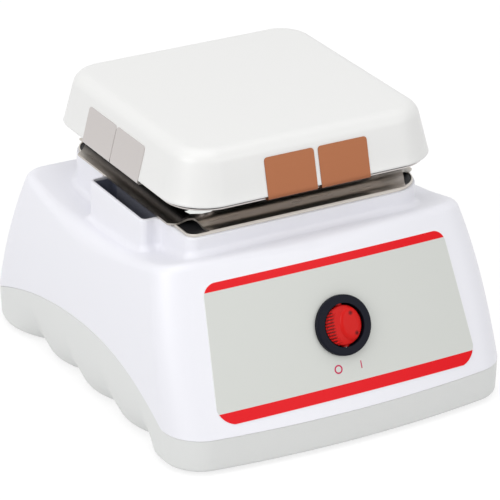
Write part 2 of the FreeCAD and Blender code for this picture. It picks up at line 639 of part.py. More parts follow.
def base():
    """The grey tray: floor, walls with finger grips, bosses for the screws and sockets for the feet."""
    wall, floor, bottom = size("wall"), size("base_floor"), size("foot_proud")
    shell = base_form().common(split_profile()).cut(base_form(wall, floor))
    shell = shell.fuse(pillars(size("boss_outer"), bottom + floor / 2, size("split_z") - size("seam_gap")))
    block_bosses = [Part.makeCylinder(2 * size("block_screw"), size("block_z") - bottom - floor / 2,
                    V(sign * size("block_spread"), size("block_y"), bottom + floor / 2)) for sign in (-1, 1)]
    shell = shell.fuse(block_bosses)
    tools = pillars(2 * size("body_screw") + size("fit_gap"), 0, size("seat_z"))
    tools += pillars(size("body_screw") + size("screw_clearance"), 0, size("split_z") + wall)
    tools += pillars(size("foot_plug") + size("thread_gap"), 0, 2 * size("floor_z"), "foot_spread_x",
                     "foot_spread_y")
    tools += [Part.makeCylinder(size("block_screw") + size("thread_gap"), size("block_z"),
              V(sign * size("block_spread"), size("block_y"), bottom + floor / 2)) for sign in (-1, 1)]
    piece("base", solid("base", shell.cut(tools).Solids[0]))


def feet():
    """Rubber feet, pushed into sockets in the base's floor."""
    def foot(name, x, y):
        pad = cone(name + "_pad", "foot_radius - foot_proud / 2", "foot_radius", "foot_proud", x, y)
        plug = cylinder(name + "_plug", "foot_plug", "base_floor", x, y, "foot_proud")
        return piece(name, fuse(name + "_whole", pad, plug))
    four("foot", foot, "foot_spread_x", "foot_spread_y", "0")


def housing_screws():
    """Four screws up through the base's bosses into the housing's pillars."""
    def screw(name, x, y):
        head = cylinder(name + "_head", "2 * body_screw", "body_screw", x, y, "seat_z - body_screw")
        shank = cylinder(name + "_shank", "body_screw", "split_z + screw_bite - screw_end - seat_z", x, y, "seat_z")
        return fuse(name, head, shank)
    screws = four("housing_screw", screw, "boss_spread_x", "boss_spread_y", "0")
    piece("housing_screws", group("housing_screws", *screws))


def tube(name, outer, inner, height, x, y, z):
    return cut(name, cylinder(name + "_outside", outer, height, x, y, z),
               cylinder(name + "_bore", inner, f"({height}) + 2 * wall", x, y, f"({z}) - wall"))


def post_holes(name, radius, z="boss_z", height="plate_height"):
    """Four upright cylinders on the posts' axes, as tools."""
    return four(name, lambda label, x, y: cylinder(label, radius, height, x, y, z), "post_spread", "post_spread")


def shields_and_posts():
    """The lower shield, the spacers, the posts, and the long screws through them into the plate."""
    bore = "post_screw + screw_clearance"
    sheet = rounded_plate("lower_shield_sheet", "tray_side", "tray_side", "pedestal_corner", "tray_sheet",
                          "pedestal_z")
    lead_hole = cylinder("lower_shield_lead_hole", "lead_hole", "2 * wall", "0", "top_y", "ceiling_z")
    stud_hole = cylinder("lower_shield_stud_hole", "stud_radius + screw_clearance", "2 * wall", "stud_x",
                         "top_y + stud_y", "ceiling_z")
    piece("lower_shield", cut("lower_shield_cut", sheet, lead_hole, stud_hole, *post_holes("lower_hole", bore)))

    def spacer(name, x, y):
        return piece(name, tube(name + "_ring", "post_radius + tray_sheet", bore, "spacer_height", x, y, "tray_z"))

    def post(name, x, y):
        return piece(name, tube(name + "_ring", "post_radius", bore, "post_height", x, y, "shield_z"))

    def screw(name, x, y):
        head = cylinder(name + "_head", "1.8 * post_screw", "1.2 * post_screw", x, y, "boss_z - 1.2 * post_screw")
        shank = cylinder(name + "_shank", "post_screw", "pan_z + pan_sheet + screw_bite - screw_end - boss_z",
                         x, y, "boss_z")
        return fuse(name, head, shank)
    four("shield_spacer", spacer, "post_spread", "post_spread")
    four("plate_post", post, "post_spread", "post_spread")
    piece("post_screws", group("post_screws", *four("post_screw_", screw, "post_spread", "post_spread")))


def flange(root_length, lip_length, root):
    """One pressed flange of the upper shield, in front: an S curve down and out, its ends cut on a slant.

    The section's lines leave level, turn down and level out again before the lip.
    """
    run, drop, sheet, top = size("flange_run"), size("flange_drop"), size("shield_sheet"), size("shield_z")
    bend = 0.8 * run

    def curve(level):
        start, end = V(0, -root, level), V(0, -root - bend, level - drop)
        line = Part.BezierCurve()
        line.setPoles([start, start - V(0, bend / 2, 0), end + V(0, bend / 2, 0), end])
        return start, line.toShape(), end
    start, upper, end = curve(top)
    low_start, lower, low_end = curve(top - sheet)
    lip, low_lip = V(0, -root - run, end.z), V(0, -root - run, low_end.z)
    wire = Part.Wire([upper, line_edge(end, lip), line_edge(lip, low_lip), line_edge(low_lip, low_end), lower,
                      line_edge(low_start, start)])
    longest = max(root_length, lip_length)
    strip = Part.Face(wire).extrude(V(longest, 0, 0))
    strip.translate(V(-longest / 2, 0, 0))
    plan = [V(-root_length / 2, -root, 0), V(-lip_length / 2, -root - run, 0),
            V(lip_length / 2, -root - run, 0), V(root_length / 2, -root, 0)]
    return strip.common(Part.Face(Part.makePolygon(plan + plan[:1])).extrude(V(0, 0, 2 * top)))


def heat_shield():
    """The upper stainless shield: a flat panel with four pressed flanges and cut corners."""
    run, sheet, top = size("flange_run"), size("shield_sheet"), size("shield_z")
    half_x, half_y = size("shield_width") / 2 - run, size("shield_depth") / 2 - run
    shield = Part.makeBox(2 * half_x, 2 * half_y, sheet, V(-half_x, -half_y, top - sheet))
    sides = [(0, half_x, half_y, "front_flange"), (90, half_y, half_x, "side_flange"),
             (180, half_x, half_y, "back_flange"), (270, half_y, half_x, "side_flange")]
    strips = []
    for angle, half, root, lip in sides:
        strip = flange(2 * half, size(lip), root)
        strip.rotate(V(0, 0, 0), Z_AXIS, angle)
        strips.append(strip)
    shield = shield.fuse(strips).removeSplitter()
    shield.translate(V(0, size("top_y"), 0))
    radius = size("post_screw") + size("screw_clearance")
    tools = post_bores(radius, size("tray_z"), top + run) + [centre_bore(size("lead_hole"), size("tray_z"), top + run)]
    piece("heat_shield", solid("heat_shield", shield.cut(tools).Solids[0]))


def corner_clips():
    """Small bent clips between the upper shield and the plate's pan, each with a peg at its outer end."""
    length, sheet, foot = size("clip_length"), size("shield_sheet"), size("clip_foot")
    height, peg = size("post_height"), size("clip_peg")
    web = Part.makeBox(length, sheet, height)
    sole = Part.makeBox(length, foot, sheet)
    roof = Part.makeBox(length, foot, sheet, V(0, 0, height - sheet))
    clip = web.fuse([sole, roof, Part.makeCylinder(peg, height, V(length, peg, 0))]).removeSplitter()
    clip.translate(V(-length / 2, 0, 0))
    for word, sx, sy in CORNERS:
        one = clip if sx * sy < 0 else clip.mirror(V(0, 0, 0), X_AXIS)
        one = one.copy()
        one.rotate(V(0, 0, 0), Z_AXIS, sx * sy * -size("clip_turn") + (180 if sy > 0 else 0))
        place = FreeCAD.Placement(V(sx * size("clip_spread_x"), size("top_y") + sy * size("clip_spread_y"),
                                    size("shield_z")), FreeCAD.Rotation())
        piece("corner_clip_" + word, solid("corner_clip_" + word, placed(one, place)))


def lead_sleeve():
    """Tube for the element leads, up through the deck and both shields, with a flange under the deck."""
    outer = "lead_hole - fit_gap"
    flange_z = "ceiling_z - sleeve_flange"
    body = cylinder("sleeve_body", outer, f"pan_z - ({flange_z})", "0", "top_y", flange_z)
    rim = cylinder("sleeve_rim", "lead_hole + 2 * sleeve_wall", "sleeve_flange", "0", "top_y", flange_z)
    bore = cylinder("sleeve_bore", "lead_hole - fit_gap - sleeve_wall", "plate_height", "0", "top_y",
                    f"{flange_z} - wall")
    piece("lead_sleeve", cut("lead_sleeve_cut", fuse("lead_sleeve_whole", body, rim), bore))


def quarter_turns(shape):
    """Four copies of a shape round the plate's middle."""
    copies = []
    for number in range(4):
        copy = shape.copy()
        copy.rotate(V(0, size("top_y"), 0), Z_AXIS, 90 * number)
        copies.append(copy)
    return copies


def tab_recesses():
    """Shallow recesses in the plate's sides that the pan's tabs lie in, as tools."""
    lean, gap = math.radians(size("plate_draft")), size("tab_clearance")
    width, height = size("tab_width") + 2 * gap, size("tab_height") + gap
    edge = V(0, size("top_y") - size("plate_side") / 2, size("plate_z"))
    frame = FreeCAD.Placement(edge, FreeCAD.Rotation(X_AXIS, V(0, math.sin(lean), math.cos(lean)),
                                                     V(0, -math.cos(lean), math.sin(lean)), "ZXY"))
    tools = []
    for sign in (-1, 1):
        middle = sign * (size("tab_gap") + size("tab_width")) / 2
        tool = Part.makeBox(width, 2 * height, size("plate_wall"), V(middle - width / 2, -height, -size("tab_recess")))
        tool = tool.makeFillet(size("tab_corner"), upright_edges(tool))
        tools += quarter_turns(placed(tool, frame))
    return tools


def heating_plate():
    """The cast plate: leaning sides, round upper edge, a cavity with four bosses, recesses for the tabs."""
    body = rounded_plate("plate_block", "plate_side", "plate_side", "plate_corner", "plate_height", "plate_z",
                         "0 - plate_draft")
    doc.recompute()
    top = size("plate_z") + size("plate_height")
    rim = [f"Edge{number}" for number, edge in enumerate(body.Shape.Edges, start=1)
           if edge.BoundBox.ZMin > top - TRACE]
    pad = body.Tip
    rounding = body.newObject("PartDesign::Fillet", "plate_rounding")
    rounding.Base = (pad, rim)
    bind(rounding, Radius="plate_round")
    body.Tip = rounding
    cavity = rounded_plate("plate_cavity", "cavity_side", "cavity_side", "plate_corner - plate_wall",
                           "cavity_z - pan_z", "pan_z")
    plate = cut("plate_hollow", body, cavity)
    bosses = post_holes("plate_boss", "boss_radius", "pan_z + pan_sheet", "cavity_z - pan_z - pan_sheet + wall")
    whole = fuse("plate_bossed", plate, *bosses)
    bores = post_holes("plate_bore", "post_screw + thread_gap", "pan_z", "pan_sheet + screw_bite")
    bores += cross_bores("plate_press_bore", "press_screw + thread_gap", "press_z", "cavity_z + press_bite - press_z")
    recesses = solid("plate_recesses", Part.makeCompound(tab_recesses()))
    piece("heating_plate", cut("plate_recessed", cut("plate_bored", whole, *bores), recesses))


def cross_bores(name, radius, z, height):
    """Four upright cylinders on the plate's two middle lines."""
    spots = [("press_spread", "top_y"), ("0 - press_spread", "top_y"), ("0", "top_y + press_spread"),
             ("0", "top_y - press_spread")]
    return [cylinder(f"{name}_{number}", radius, height, x, y, z) for number, (x, y) in enumerate(spots, start=1)]


def tab():
    """One tab of the pan in front: a strip that bends up from the panel and lies in its recess."""
    lean, sheet, inner = math.radians(size("plate_draft")), size("pan_sheet"), size("tab_bend")
    up, out = V(0, math.sin(lean), math.cos(lean)), V(0, -math.cos(lean), math.sin(lean))
    edge = V(0, size("top_y") - size("plate_side") / 2, size("plate_z"))
    near, far = edge - out * size("tab_recess"), edge + out * (sheet - size("tab_recess"))

    def at_level(point, z):
        return point + up * ((z - point.z) / up.z)
    top, bottom = size("pan_z") + sheet, size("pan_z")
    root = edge.y + size("pan_inset") + sheet
    corners = [near + up * size("tab_height"), at_level(near, top), V(0, root, top), V(0, root, bottom),
               at_level(far, bottom), far + up * size("tab_height")]
    strip = Part.Face(Part.makePolygon(corners + corners[:1])).extrude(V(size("tab_width"), 0, 0))

    def bends(shape, point):
        return [item for item in shape.Edges if item.distToShape(Part.Vertex(point))[0] < TRACE
                and item.BoundBox.XLength > TRACE]
    strip = strip.makeFillet(inner, bends(strip, corners[1]))
    strip = strip.makeFillet(inner + sheet, bends(strip, corners[4]))
    ends = [item for item in strip.Edges if item.Length < 2 * sheet and item.BoundBox.ZMin > size("plate_z") + sheet]
    return strip.makeFillet(size("tab_corner"), ends)


def plate_pan():
    """The stainless pan that closes the plate from below, with eight tabs folded up its sides."""
    side, sheet = size("plate_side") - 2 * size("pan_inset"), size("pan_sheet")
    panel = prism(side, side, sheet, size("plate_corner") - size("pan_inset"), size("pan_z"), size("top_y"))
    right = tab()
    right.translate(V(size("tab_gap") / 2, 0, 0))
    left = tab()
    left.translate(V(-size("tab_gap") / 2 - size("tab_width"), 0, 0))
    pan = panel.fuse(quarter_turns(right) + quarter_turns(left)).removeSplitter()
    bottom, top = size("pan_z") - sheet, size("pan_z") + 2 * sheet
    tools = post_bores(size("post_screw") + size("screw_clearance"), bottom, top)
    pan = pan.cut(tools + [centre_bore(size("lead_hole") - size("sleeve_wall"), bottom, top)])
    piece("plate_pan", solid("plate_pan", pan.Solids[0]))


def stack_sheet(name, height, z):
    """A level sheet of the heating stack, with room for the plate's bosses, screws and leads."""
    sheet = rounded_plate(name + "_blank", "press_side", "press_side", "press_corner", height, z)
    holes = post_holes(name + "_boss_hole", "boss_radius + fit_gap", f"{z} - wall", f"{height} + 2 * wall")
    lead_hole = cylinder(name + "_lead_hole", "lead_hole", f"{height} + 2 * wall", "0", "top_y", f"{z} - wall")
    return sheet, holes + [lead_hole]


def heating_stack():
    """Mica, ribbon, mica and pressure plate under the plate's ceiling, and the pad that fills the rest."""
    bore = "press_screw + screw_clearance"
    sheet, holes = stack_sheet("upper_mica", "mica_sheet", "cavity_z - mica_sheet")
    screw_holes = cross_bores("upper_mica_hole", bore, "press_z", "plate_top")
    piece("upper_mica_sheet", cut("upper_mica_cut", sheet, *holes[:-1], *screw_holes))
    sheet, holes = stack_sheet("lower_mica", "mica_sheet", "lower_mica_z")
    piece("lower_mica_sheet", cut("lower_mica_cut", sheet, *holes, *cross_bores("lower_mica_hole", bore, "press_z",
                                                                              "plate_top")))
    sheet, holes = stack_sheet("pressure", "press_sheet", "press_z")
    piece("pressure_plate", cut("pressure_cut", sheet, *holes, *cross_bores("pressure_hole", bore, "press_z - wall",
                                                                            "plate_top")))
    pad_height = "press_z - fit_gap - pad_z"
    sheet, holes = stack_sheet("pad", pad_height, "pad_z")
    screw_room = cross_bores("pad_screw_room", "2 * press_screw + 2 * fit_gap", "pad_z - wall", "plate_height")
    can_room = cylinder("pad_can_room", "cutout_radius + 2 * fit_gap", "plate_height", "cutout_x", "top_y",
                        "pad_z - wall")
    piece("insulation_pad", cut("pad_cut", sheet, can_room, *holes, *screw_room))
    screws = []
    heads = cross_bores("press_head", "2 * press_screw", "press_z - press_screw", "press_screw")
    shanks = cross_bores("press_shank", "press_screw", "press_z", "cavity_z + press_bite - screw_end - press_z")
    for number, (head, shank) in enumerate(zip(heads, shanks), start=1):
        screws.append(fuse(f"press_screw_{number}", head, shank))
    piece("pressure_screws", group("pressure_screws", *screws))
    can = cylinder("cutout_can", "cutout_radius", "cutout_height - blade_sheet", "cutout_x", "top_y",
                   "press_z - cutout_height + blade_sheet")
    cap = cylinder("cutout_cap", "cutout_radius - blade_sheet", "cutout_height", "cutout_x", "top_y",
                   "press_z - cutout_height")
    blades = [block(f"cutout_blade_{sign}", "blade_sheet", "blade_width", "blade_sheet + wall",
                    f"cutout_x + {sign} * blade_pitch", "top_y", "press_z - cutout_height - wall")
              for sign in (-1, 1)]
    piece("thermal_cutout", fuse("cutout_whole", can, cap, *blades))


def heating_ribbon():
    """Flat heating conductor between the mica sheets: rows of straight runs, both ends at the middle."""
    half, pitch, width = size("ribbon_length") / 2, size("ribbon_pitch"), size("ribbon_width")
    start = size("lead_radius") + width / 2
    points = [(-start, 0), (-half, 0), (-half, -pitch), (half, -pitch), (half, -2 * pitch), (-half, -2 * pitch),
              (-half, -3 * pitch), (half + pitch, -3 * pitch), (half + pitch, 4 * pitch), (-half, 4 * pitch),
              (-half, 3 * pitch), (half, 3 * pitch), (half, 2 * pitch), (-half, 2 * pitch), (-half, pitch),
              (half, pitch), (half, 0), (start, 0)]
    runs = []
    for (x0, y0), (x1, y1) in zip(points, points[1:]):
        corner = V(min(x0, x1) - width / 2, size("top_y") + min(y0, y1) - width / 2,
                   size("lower_mica_z") + size("mica_sheet"))
        runs.append(Part.makeBox(abs(x1 - x0) + width, abs(y1 - y0) + width, size("ribbon_sheet"), corner))
    ribbon = runs[0].fuse(runs[1:]).removeSplitter()
    piece("heating_ribbon", solid("heating_ribbon", ribbon.Solids[0]))


def switch():
    """The round rocker switch in its own frame: body, rocker, pivot pin, lamp and blade terminals."""
    seat = "label_proud + bezel_lift"
    bezel = cylinder("bezel", "bezel_radius", "bezel_height", "0", "0", seat)
    rim = doc.addObject("Part::Fillet", "bezel_rim")
    rim.Base = bezel
    doc.recompute()
    crest = size("label_proud") + size("bezel_lift") + size("bezel_height")
    edges = [number for number, edge in enumerate(bezel.Shape.Edges, start=1) if edge.BoundBox.ZMin > crest - TRACE]
    rim.Edges = [(number, size("bezel_round"), size("bezel_round")) for number in edges]
    barrel = cylinder("barrel", "barrel_radius", f"barrel_depth + {seat}", "0", "0", "0 - barrel_depth")
    bore = cylinder("barrel_bore", "rocker_bore", "2 * barrel_depth", "0", "0", "barrel_floor - barrel_depth")
    pin_hole = bar("pin_hole", "pivot_radius + thread_gap", "rocker_bore + barrel_radius + fit_gap")
    blades = [block(f"blade_{number}", "blade_sheet", "blade_width", "blade_length + barrel_floor / 2",
                    f"{number - 2} * blade_pitch", "0", "0 - barrel_depth - blade_length") for number in (1, 2, 3)]
    terminals = group("switch_terminals", *blades)
    body = cut("switch_body_cut", fuse("switch_whole", rim, barrel), bore, pin_hole, group("blade_slots", *blades))
    piece("switch_body", body, FRONT)
    piece("switch_terminals", terminals, FRONT)
    pin = bar("pin_bar", "pivot_radius", "rocker_bore + barrel_radius")
    lamp = cylinder("lamp_bulb", "lamp_radius", "lamp_height", "0", "0", "barrel_floor - barrel_depth")
    piece("rocker_pin", group("rocker_pin", pin), FRONT)
    piece("switch_lamp", group("switch_lamp", lamp), FRONT)
    piece("switch_rocker", solid("switch_rocker", rocker()), FRONT)


def bar(name, radius, length):
    """A round bar along Y on the rocker's pivot, in the switch's frame."""
    feature = cylinder(name, radius, length)
    feature.Placement.Rotation = FreeCAD.Rotation(X_AXIS, -90)
    return bind(feature, y=f"0 - ({length}) / 2", z="0 - rocker_pivot")


def rocker():
    """The rocker: a ball in the barrel, cut to two sloped facets above and a flat stem below, at rest."""
    radius, pivot = size("rocker_bore") - size("rocker_gap"), V(0, 0, -size("rocker_pivot"))
    ball = Part.makeSphere(radius, pivot)
    low, valley, reach = pivot.z - size("rocker_stem"), size("rocker_valley"), 2 * radius
    crest = valley + reach * math.tan(math.radians(size("rocker_angle")))
    profile = [V(-reach, -reach, low), V(reach, -reach, low), V(reach, -reach, crest), V(0, -reach, valley),
               V(-reach, -reach, crest)]
    wedge = Part.Face(Part.makePolygon(profile + profile[:1])).extrude(V(0, 2 * reach, 0))
    bore = Part.makeCylinder(size("pivot_radius") + size("pivot_clearance"), 2 * reach, pivot - V(0, reach, 0), Y_AXIS)
    shape = ball.common(wedge).cut(bore)
    shape.rotate(pivot, Y_AXIS, -size("rocker_angle"))
    return shape


def inlet():
    """The mains inlet in the back wall: flange and keyed socket, three blades, two screws with nuts."""
    width, height, wall, depth = (size("inlet_cup_width"), size("inlet_cup_height"), size("inlet_wall"),
                                  size("inlet_depth"))
    floor, corner, seat = size("socket_z"), size("inlet_corner"), -size("inlet_recess")
    flange = prism(size("inlet_width"), size("inlet_height"), size("inlet_flange"), corner, seat)
    cup = prism(width, height, depth + wall, corner, floor - wall)
    socket = prism(width - 2 * wall, height - 2 * wall, 2 * depth, corner / 2, floor)
    key = 1.5 * corner
    keyway = [V(sign * (width / 2 - wall), height / 2 - wall - 2 * key, floor) for sign in (-1, 1)]
    for corner_point in keyway:
        inward = -math.copysign(key, corner_point.x)
        top = corner_point + V(0, 2 * key, 0)
        web = Part.Face(Part.makePolygon([top, top - V(0, key, 0), top + V(inward, 0, 0), top]))
        socket = socket.cut(web.extrude(V(0, 0, 2 * depth)))
    screw_holes = [Part.makeCylinder(size("inlet_screw") + size("screw_clearance"), 2 * depth,
                                     V(sign * size("inlet_spread"), 0, -depth)) for sign in (-1, 1)]
    tail = floor - wall - size("inlet_tail")
    pins = []
    for x, y in PIN_SPOTS:
        corner_point = V(x - size("inlet_pin_width") / 2, y - size("inlet_pin_height") / 2, tail)
        pins.append(Part.makeBox(size("inlet_pin_width"), size("inlet_pin_height"),
                                 seat - size("inlet_pin_back") - tail, corner_point))
    body = flange.fuse(cup).removeSplitter().cut([socket] + screw_holes + pins)
    piece("power_inlet", solid("power_inlet", placed(body, REAR)))
    piece("inlet_pins", solid("inlet_pins", placed(Part.makeCompound(pins), REAR)))
    seat_z = "inlet_flange - inlet_recess"
    nut_z = "0 - rear_wall - thread_gap - nut_height"
    screws, nuts = [], []
    for word, sign in (("left", 1), ("right", -1)):
        x = f"{sign} * inlet_spread"
        head = cylinder(f"inlet_head_{word}", "2 * inlet_screw", "1.2 * inlet_screw", x, "0", seat_z)
        shank = cylinder(f"inlet_shank_{word}", "inlet_screw", f"{seat_z} - ({nut_z}) + screw_end", x, "0",
                         f"{nut_z} - screw_end")
        screws.append(fuse(f"inlet_screw_{word}", head, shank))
        nuts.append(nut(f"inlet_nut_{word}", "inlet_nut", "inlet_screw", x, "0", nut_z))
    piece("inlet_screws", group("inlet_screws", *screws), REAR)
    piece("inlet_nuts", group("inlet_nuts", *nuts), REAR)


PIN_SPOTS = [(-size("inlet_pin_spread"), -size("inlet_pin_offset")), (0, size("inlet_pin_offset")),
             (size("inlet_pin_spread"), -size("inlet_pin_offset"))]


def nut(name, radius, screw, x, y, z):
    hexagon = bind(doc.addObject("Part::Prism", name + "_hexagon"), Circumradius=radius, Height="nut_height",
                   x=x, y=y, z=z)
    bore = cylinder(name + "_bore", f"{screw} + thread_gap", "3 * nut_height", x, y, f"{z} - nut_height")
    return cut(name, hexagon, bore)


def terminals():
    """The terminal block on its two bosses, its screws, and the earth stud under the deck."""
    body = block("terminal_body", "block_length", "block_width", "block_height", "0", "block_y", "block_z")
    tools, clamps, screws = [], [], []
    for number in (-1, 0, 1):
        x = f"{number} * block_pitch"
        tools.append(cylinder(f"clamp_hole_{number + 2}", "block_screw + thread_gap", "block_height", x, "block_y",
                              "block_z + block_height / 2"))
        clamps.append(cylinder(f"clamp_{number + 2}", "block_screw", "block_height / 2 - block_screw / 2", x,
                               "block_y", "block_z + block_height / 2"))
    for word, sign in (("left", -1), ("right", 1)):
        x = f"{sign} * block_spread"
        tools.append(cylinder(f"block_hole_{word}", "block_screw + screw_clearance", "2 * block_height", x,
                              "block_y", "block_z - block_height / 2"))
        head = cylinder(f"block_head_{word}", "2 * block_screw", "block_screw", x, "block_y",
                        "block_z + block_height")
        shank = cylinder(f"block_shank_{word}", "block_screw", "block_height + block_lift - screw_end", x,
                         "block_y", "block_z - block_lift + screw_end")
        screws.append(fuse(f"block_screw_{word}", head, shank))
    piece("terminal_block", cut("terminal_block_cut", body, *tools))
    piece("terminal_screws", group("terminal_screws", *clamps))
    piece("block_screws", group("block_screws", *screws))
    y = "top_y + stud_y"
    head = cylinder("stud_head", "2 * stud_radius", "stud_radius", "stud_x", y, "tray_z")
    shank = cylinder("stud_shank", "stud_radius", "tray_z - ceiling_z + stud_length", "stud_x", y,
                     "ceiling_z - stud_length")
    piece("earth_stud", fuse("earth_stud_whole", head, shank))
    piece("earth_nut", nut("earth_nut_cut", "2 * stud_radius", "stud_radius", "stud_x", y, "ceiling_z - nut_height"))


def lead(points):
    """A round lead along straight runs that arcs join, each as large as its two runs allow."""
    edges, start = [], points[0]
    for before, corner, after in zip(points, points[1:], points[2:]):
        to_corner, onwards = corner - before, after - corner
        shorter = min(to_corner.Length, onwards.Length)
        to_corner.normalize()
        onwards.normalize()
        half_turn = to_corner.getAngle(onwards) / 2
        trim = min(size("lead_bend") * math.tan(half_turn), 0.45 * shorter)
        first, last = corner - to_corner * trim, corner + onwards * trim
        inward = onwards - to_corner
        inward.normalize()
        radius = trim / math.tan(half_turn)
        middle = corner + inward * (radius / math.cos(half_turn) - radius)
        edges += [line_edge(start, first), arc_edge(first, middle, last)]
        start = last
    edges.append(line_edge(start, points[-1]))
    path = Part.Wire(edges)
    circle = Part.makeCircle(size("lead_radius"), points[0], points[1] - points[0])
    shape = path.makePipeShell([Part.Wire(circle)], True, False)
    section = math.pi * size("lead_radius") ** 2
    if abs(shape.Volume / (section * path.Length) - 1) > 0.01:
        raise RuntimeError("a lead's volume doesn't fit its length")
    return shape


def wiring():
    """The inner leads, end to end between the inlet, the switch, the terminal block and the element."""
    tail = size("socket_z") - size("inlet_wall") - size("inlet_tail")
    neutral, earth, live = [[REAR.multVec(V(x, y, tail)), REAR.multVec(V(x, y, tail - run))]
                            for (x, y), run in zip(reversed(PIN_SPOTS), (8, 8, 10))]
    blade_end = -size("barrel_depth") - size("blade_length")
    switched, fed = [[FRONT.multVec(V(sign * size("blade_pitch"), 0, blade_end)),
                      FRONT.multVec(V(sign * size("blade_pitch"), 0, blade_end - 12))] for sign in (-1, 1)]
    level = size("block_z") + size("block_height") / 2
    front = size("block_y") - size("block_width") / 2
    back = size("block_y") + size("block_width") / 2
    clamp = size("block_pitch")
    runs = {
        "live_lead": [live + [V(28, 30, 22), V(28, -20, 26)] + fed[::-1]],
        "neutral_lead": [neutral + [V(-clamp, back + 8, level), V(-clamp, back, level)]],
        "switched_lead": [switched + [V(clamp, front - 22, level), V(clamp, front, level)]],
        "earth_lead": [earth + [V(size("stud_x"), size("top_y") + size("stud_y"), 34),
                                V(size("stud_x"), size("top_y") + size("stud_y"),
                                  size("ceiling_z") - size("stud_length"))]],
        "element_leads": [],
    }
    top, middle = size("lower_mica_z") + size("mica_sheet"), size("top_y")
    offset = size("lead_radius") + size("ribbon_width") / 2
    for clamp_x, x in ((-clamp, -offset), (0, offset)):
        runs["element_leads"].append([V(clamp_x, front, level), V(clamp_x, middle, level), V(clamp_x, middle, 40),
                                      V(x, middle, 60), V(x, middle, top)])
    for name, paths in runs.items():
        piece(name, solid(name, Part.makeCompound([lead(points) for points in paths])))


def finish():
    """Checks every object and every piece, and writes one file for each piece."""
    doc.recompute()
    for item in doc.Objects:
        if "Invalid" in item.State or "Error" in item.State:
            raise RuntimeError(f"{item.Label} failed: {item.State}")
    for item in PIECES:
        if item.Shape.isNull() or not item.Shape.isValid() or not item.Shape.Solids:
            raise RuntimeError(f"{item.Label} has no valid solid")
        item.Shape.exportStep(f"parts/{item.Label}.step")
    print(len(PIECES), "pieces")


def main():
    """Builds every piece, checks it, and writes one file for each."""
    outer = skin()
    housing(outer)
    base()
    feet()
    housing_screws()
    front_label(outer)
    shields_and_posts()
    heat_shield()
    corner_clips()
    lead_sleeve()
    plate_pan()
    heating_plate()
    heating_stack()
    heating_ribbon()
    switch()
    inlet()
    terminals()
    wiring()
    finish()


main()
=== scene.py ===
# %% [markdown]
# # A laboratory hot plate, dressed for the camera
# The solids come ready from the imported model, in metres, with the origin on the table and +Y to the
# back. This lesson adds the light, the camera and the finishes, and rebuilds by formula the surfaces
# that the eye stays on, from the moulded housing to the red rocker.

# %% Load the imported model
import bpy
import bmesh
import math
import numpy as np
from mathutils import Matrix, Vector


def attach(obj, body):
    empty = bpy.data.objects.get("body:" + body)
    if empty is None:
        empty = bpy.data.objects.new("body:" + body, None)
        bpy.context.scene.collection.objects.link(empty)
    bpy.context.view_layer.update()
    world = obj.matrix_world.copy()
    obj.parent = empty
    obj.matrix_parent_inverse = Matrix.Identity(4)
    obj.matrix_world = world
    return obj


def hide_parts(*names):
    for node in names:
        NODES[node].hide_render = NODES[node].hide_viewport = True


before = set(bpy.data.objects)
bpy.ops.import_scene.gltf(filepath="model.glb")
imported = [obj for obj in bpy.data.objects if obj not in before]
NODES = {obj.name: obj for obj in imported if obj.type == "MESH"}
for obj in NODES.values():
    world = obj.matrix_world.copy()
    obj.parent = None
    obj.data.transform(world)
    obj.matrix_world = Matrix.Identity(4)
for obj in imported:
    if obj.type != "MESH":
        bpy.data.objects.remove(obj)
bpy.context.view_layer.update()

MM = 0.001
print("nodes:", len(NODES))

# %% [markdown]
# ## The camera
# The photograph was taken from a little to the left and from above, with a long lens. The place, the
# directions and the focal length below were worked out from the outlines of the plate and housing.

# %% Camera
FRAME_PIXELS, FOCAL_PIXELS, SENSOR_MM = 500, 3166.45, 36.0
YAW, ELEVATION, ROLL = math.radians(-29.194), math.radians(24.893), math.radians(0.184)
CAMERA_PLACE = Vector((-0.55565, -0.9983, 0.5760))

scene = bpy.context.scene
camera_data = bpy.data.cameras.new("camera")
camera_data.sensor_width = SENSOR_MM
camera_data.lens = FOCAL_PIXELS / FRAME_PIXELS * SENSOR_MM
camera_data.clip_end = 20.0
camera = bpy.data.objects.new("camera", camera_data)
scene.collection.objects.link(camera)
forward = Vector((-math.sin(YAW) * math.cos(ELEVATION), math.cos(YAW) * math.cos(ELEVATION), -math.sin(ELEVATION)))
level = Vector((math.cos(YAW), math.sin(YAW), 0))
upright = level.cross(forward)
right = level * math.cos(ROLL) + upright * math.sin(ROLL)
turn = Matrix((right, right.cross(forward), -forward)).transposed().to_4x4()
camera.matrix_world = Matrix.Translation(CAMERA_PLACE) @ turn
scene.camera = camera
print("camera looks along", [round(value, 3) for value in forward])

# %% [markdown]
# ## Floor and light
# A product on white paper. The camera sees a floor that is part paint and part glow, white with a
# soft shadow. Plain lamps light the object, at a level where a colour renders about as it is written.

# %% Lamps
LAMP_AIM = Vector((0, 0, 0.05))
LAMPS = (("top lamp", (-0.1, -0.1, 1.3), 1.2, 5.6),
         ("left lamp", (-1.3, -0.3, 0.7), 0.9, 7.0),
         ("front lamp", (0.5, -1.4, 0.7), 0.9, 4.6))
scene.view_settings.view_transform = "Standard"
for name, place, width, watts in LAMPS:
    lamp = bpy.data.objects.new(name, bpy.data.lights.new(name, "AREA"))
    lamp.data.shape, lamp.data.size, lamp.data.energy = "SQUARE", width, watts
    lamp.location = place
    lamp.rotation_euler = (LAMP_AIM - Vector(place)).to_track_quat("-Z", "Y").to_euler()
    scene.collection.objects.link(lamp)
print("lamps:", len(bpy.data.lights))


# %% Helpers for node trees
def feed(tree, socket, value):
    """Links a socket from another one, or sets its value."""
    if isinstance(value, bpy.types.NodeSocket):
        tree.links.new(value, socket)
    else:
        socket.default_value = value


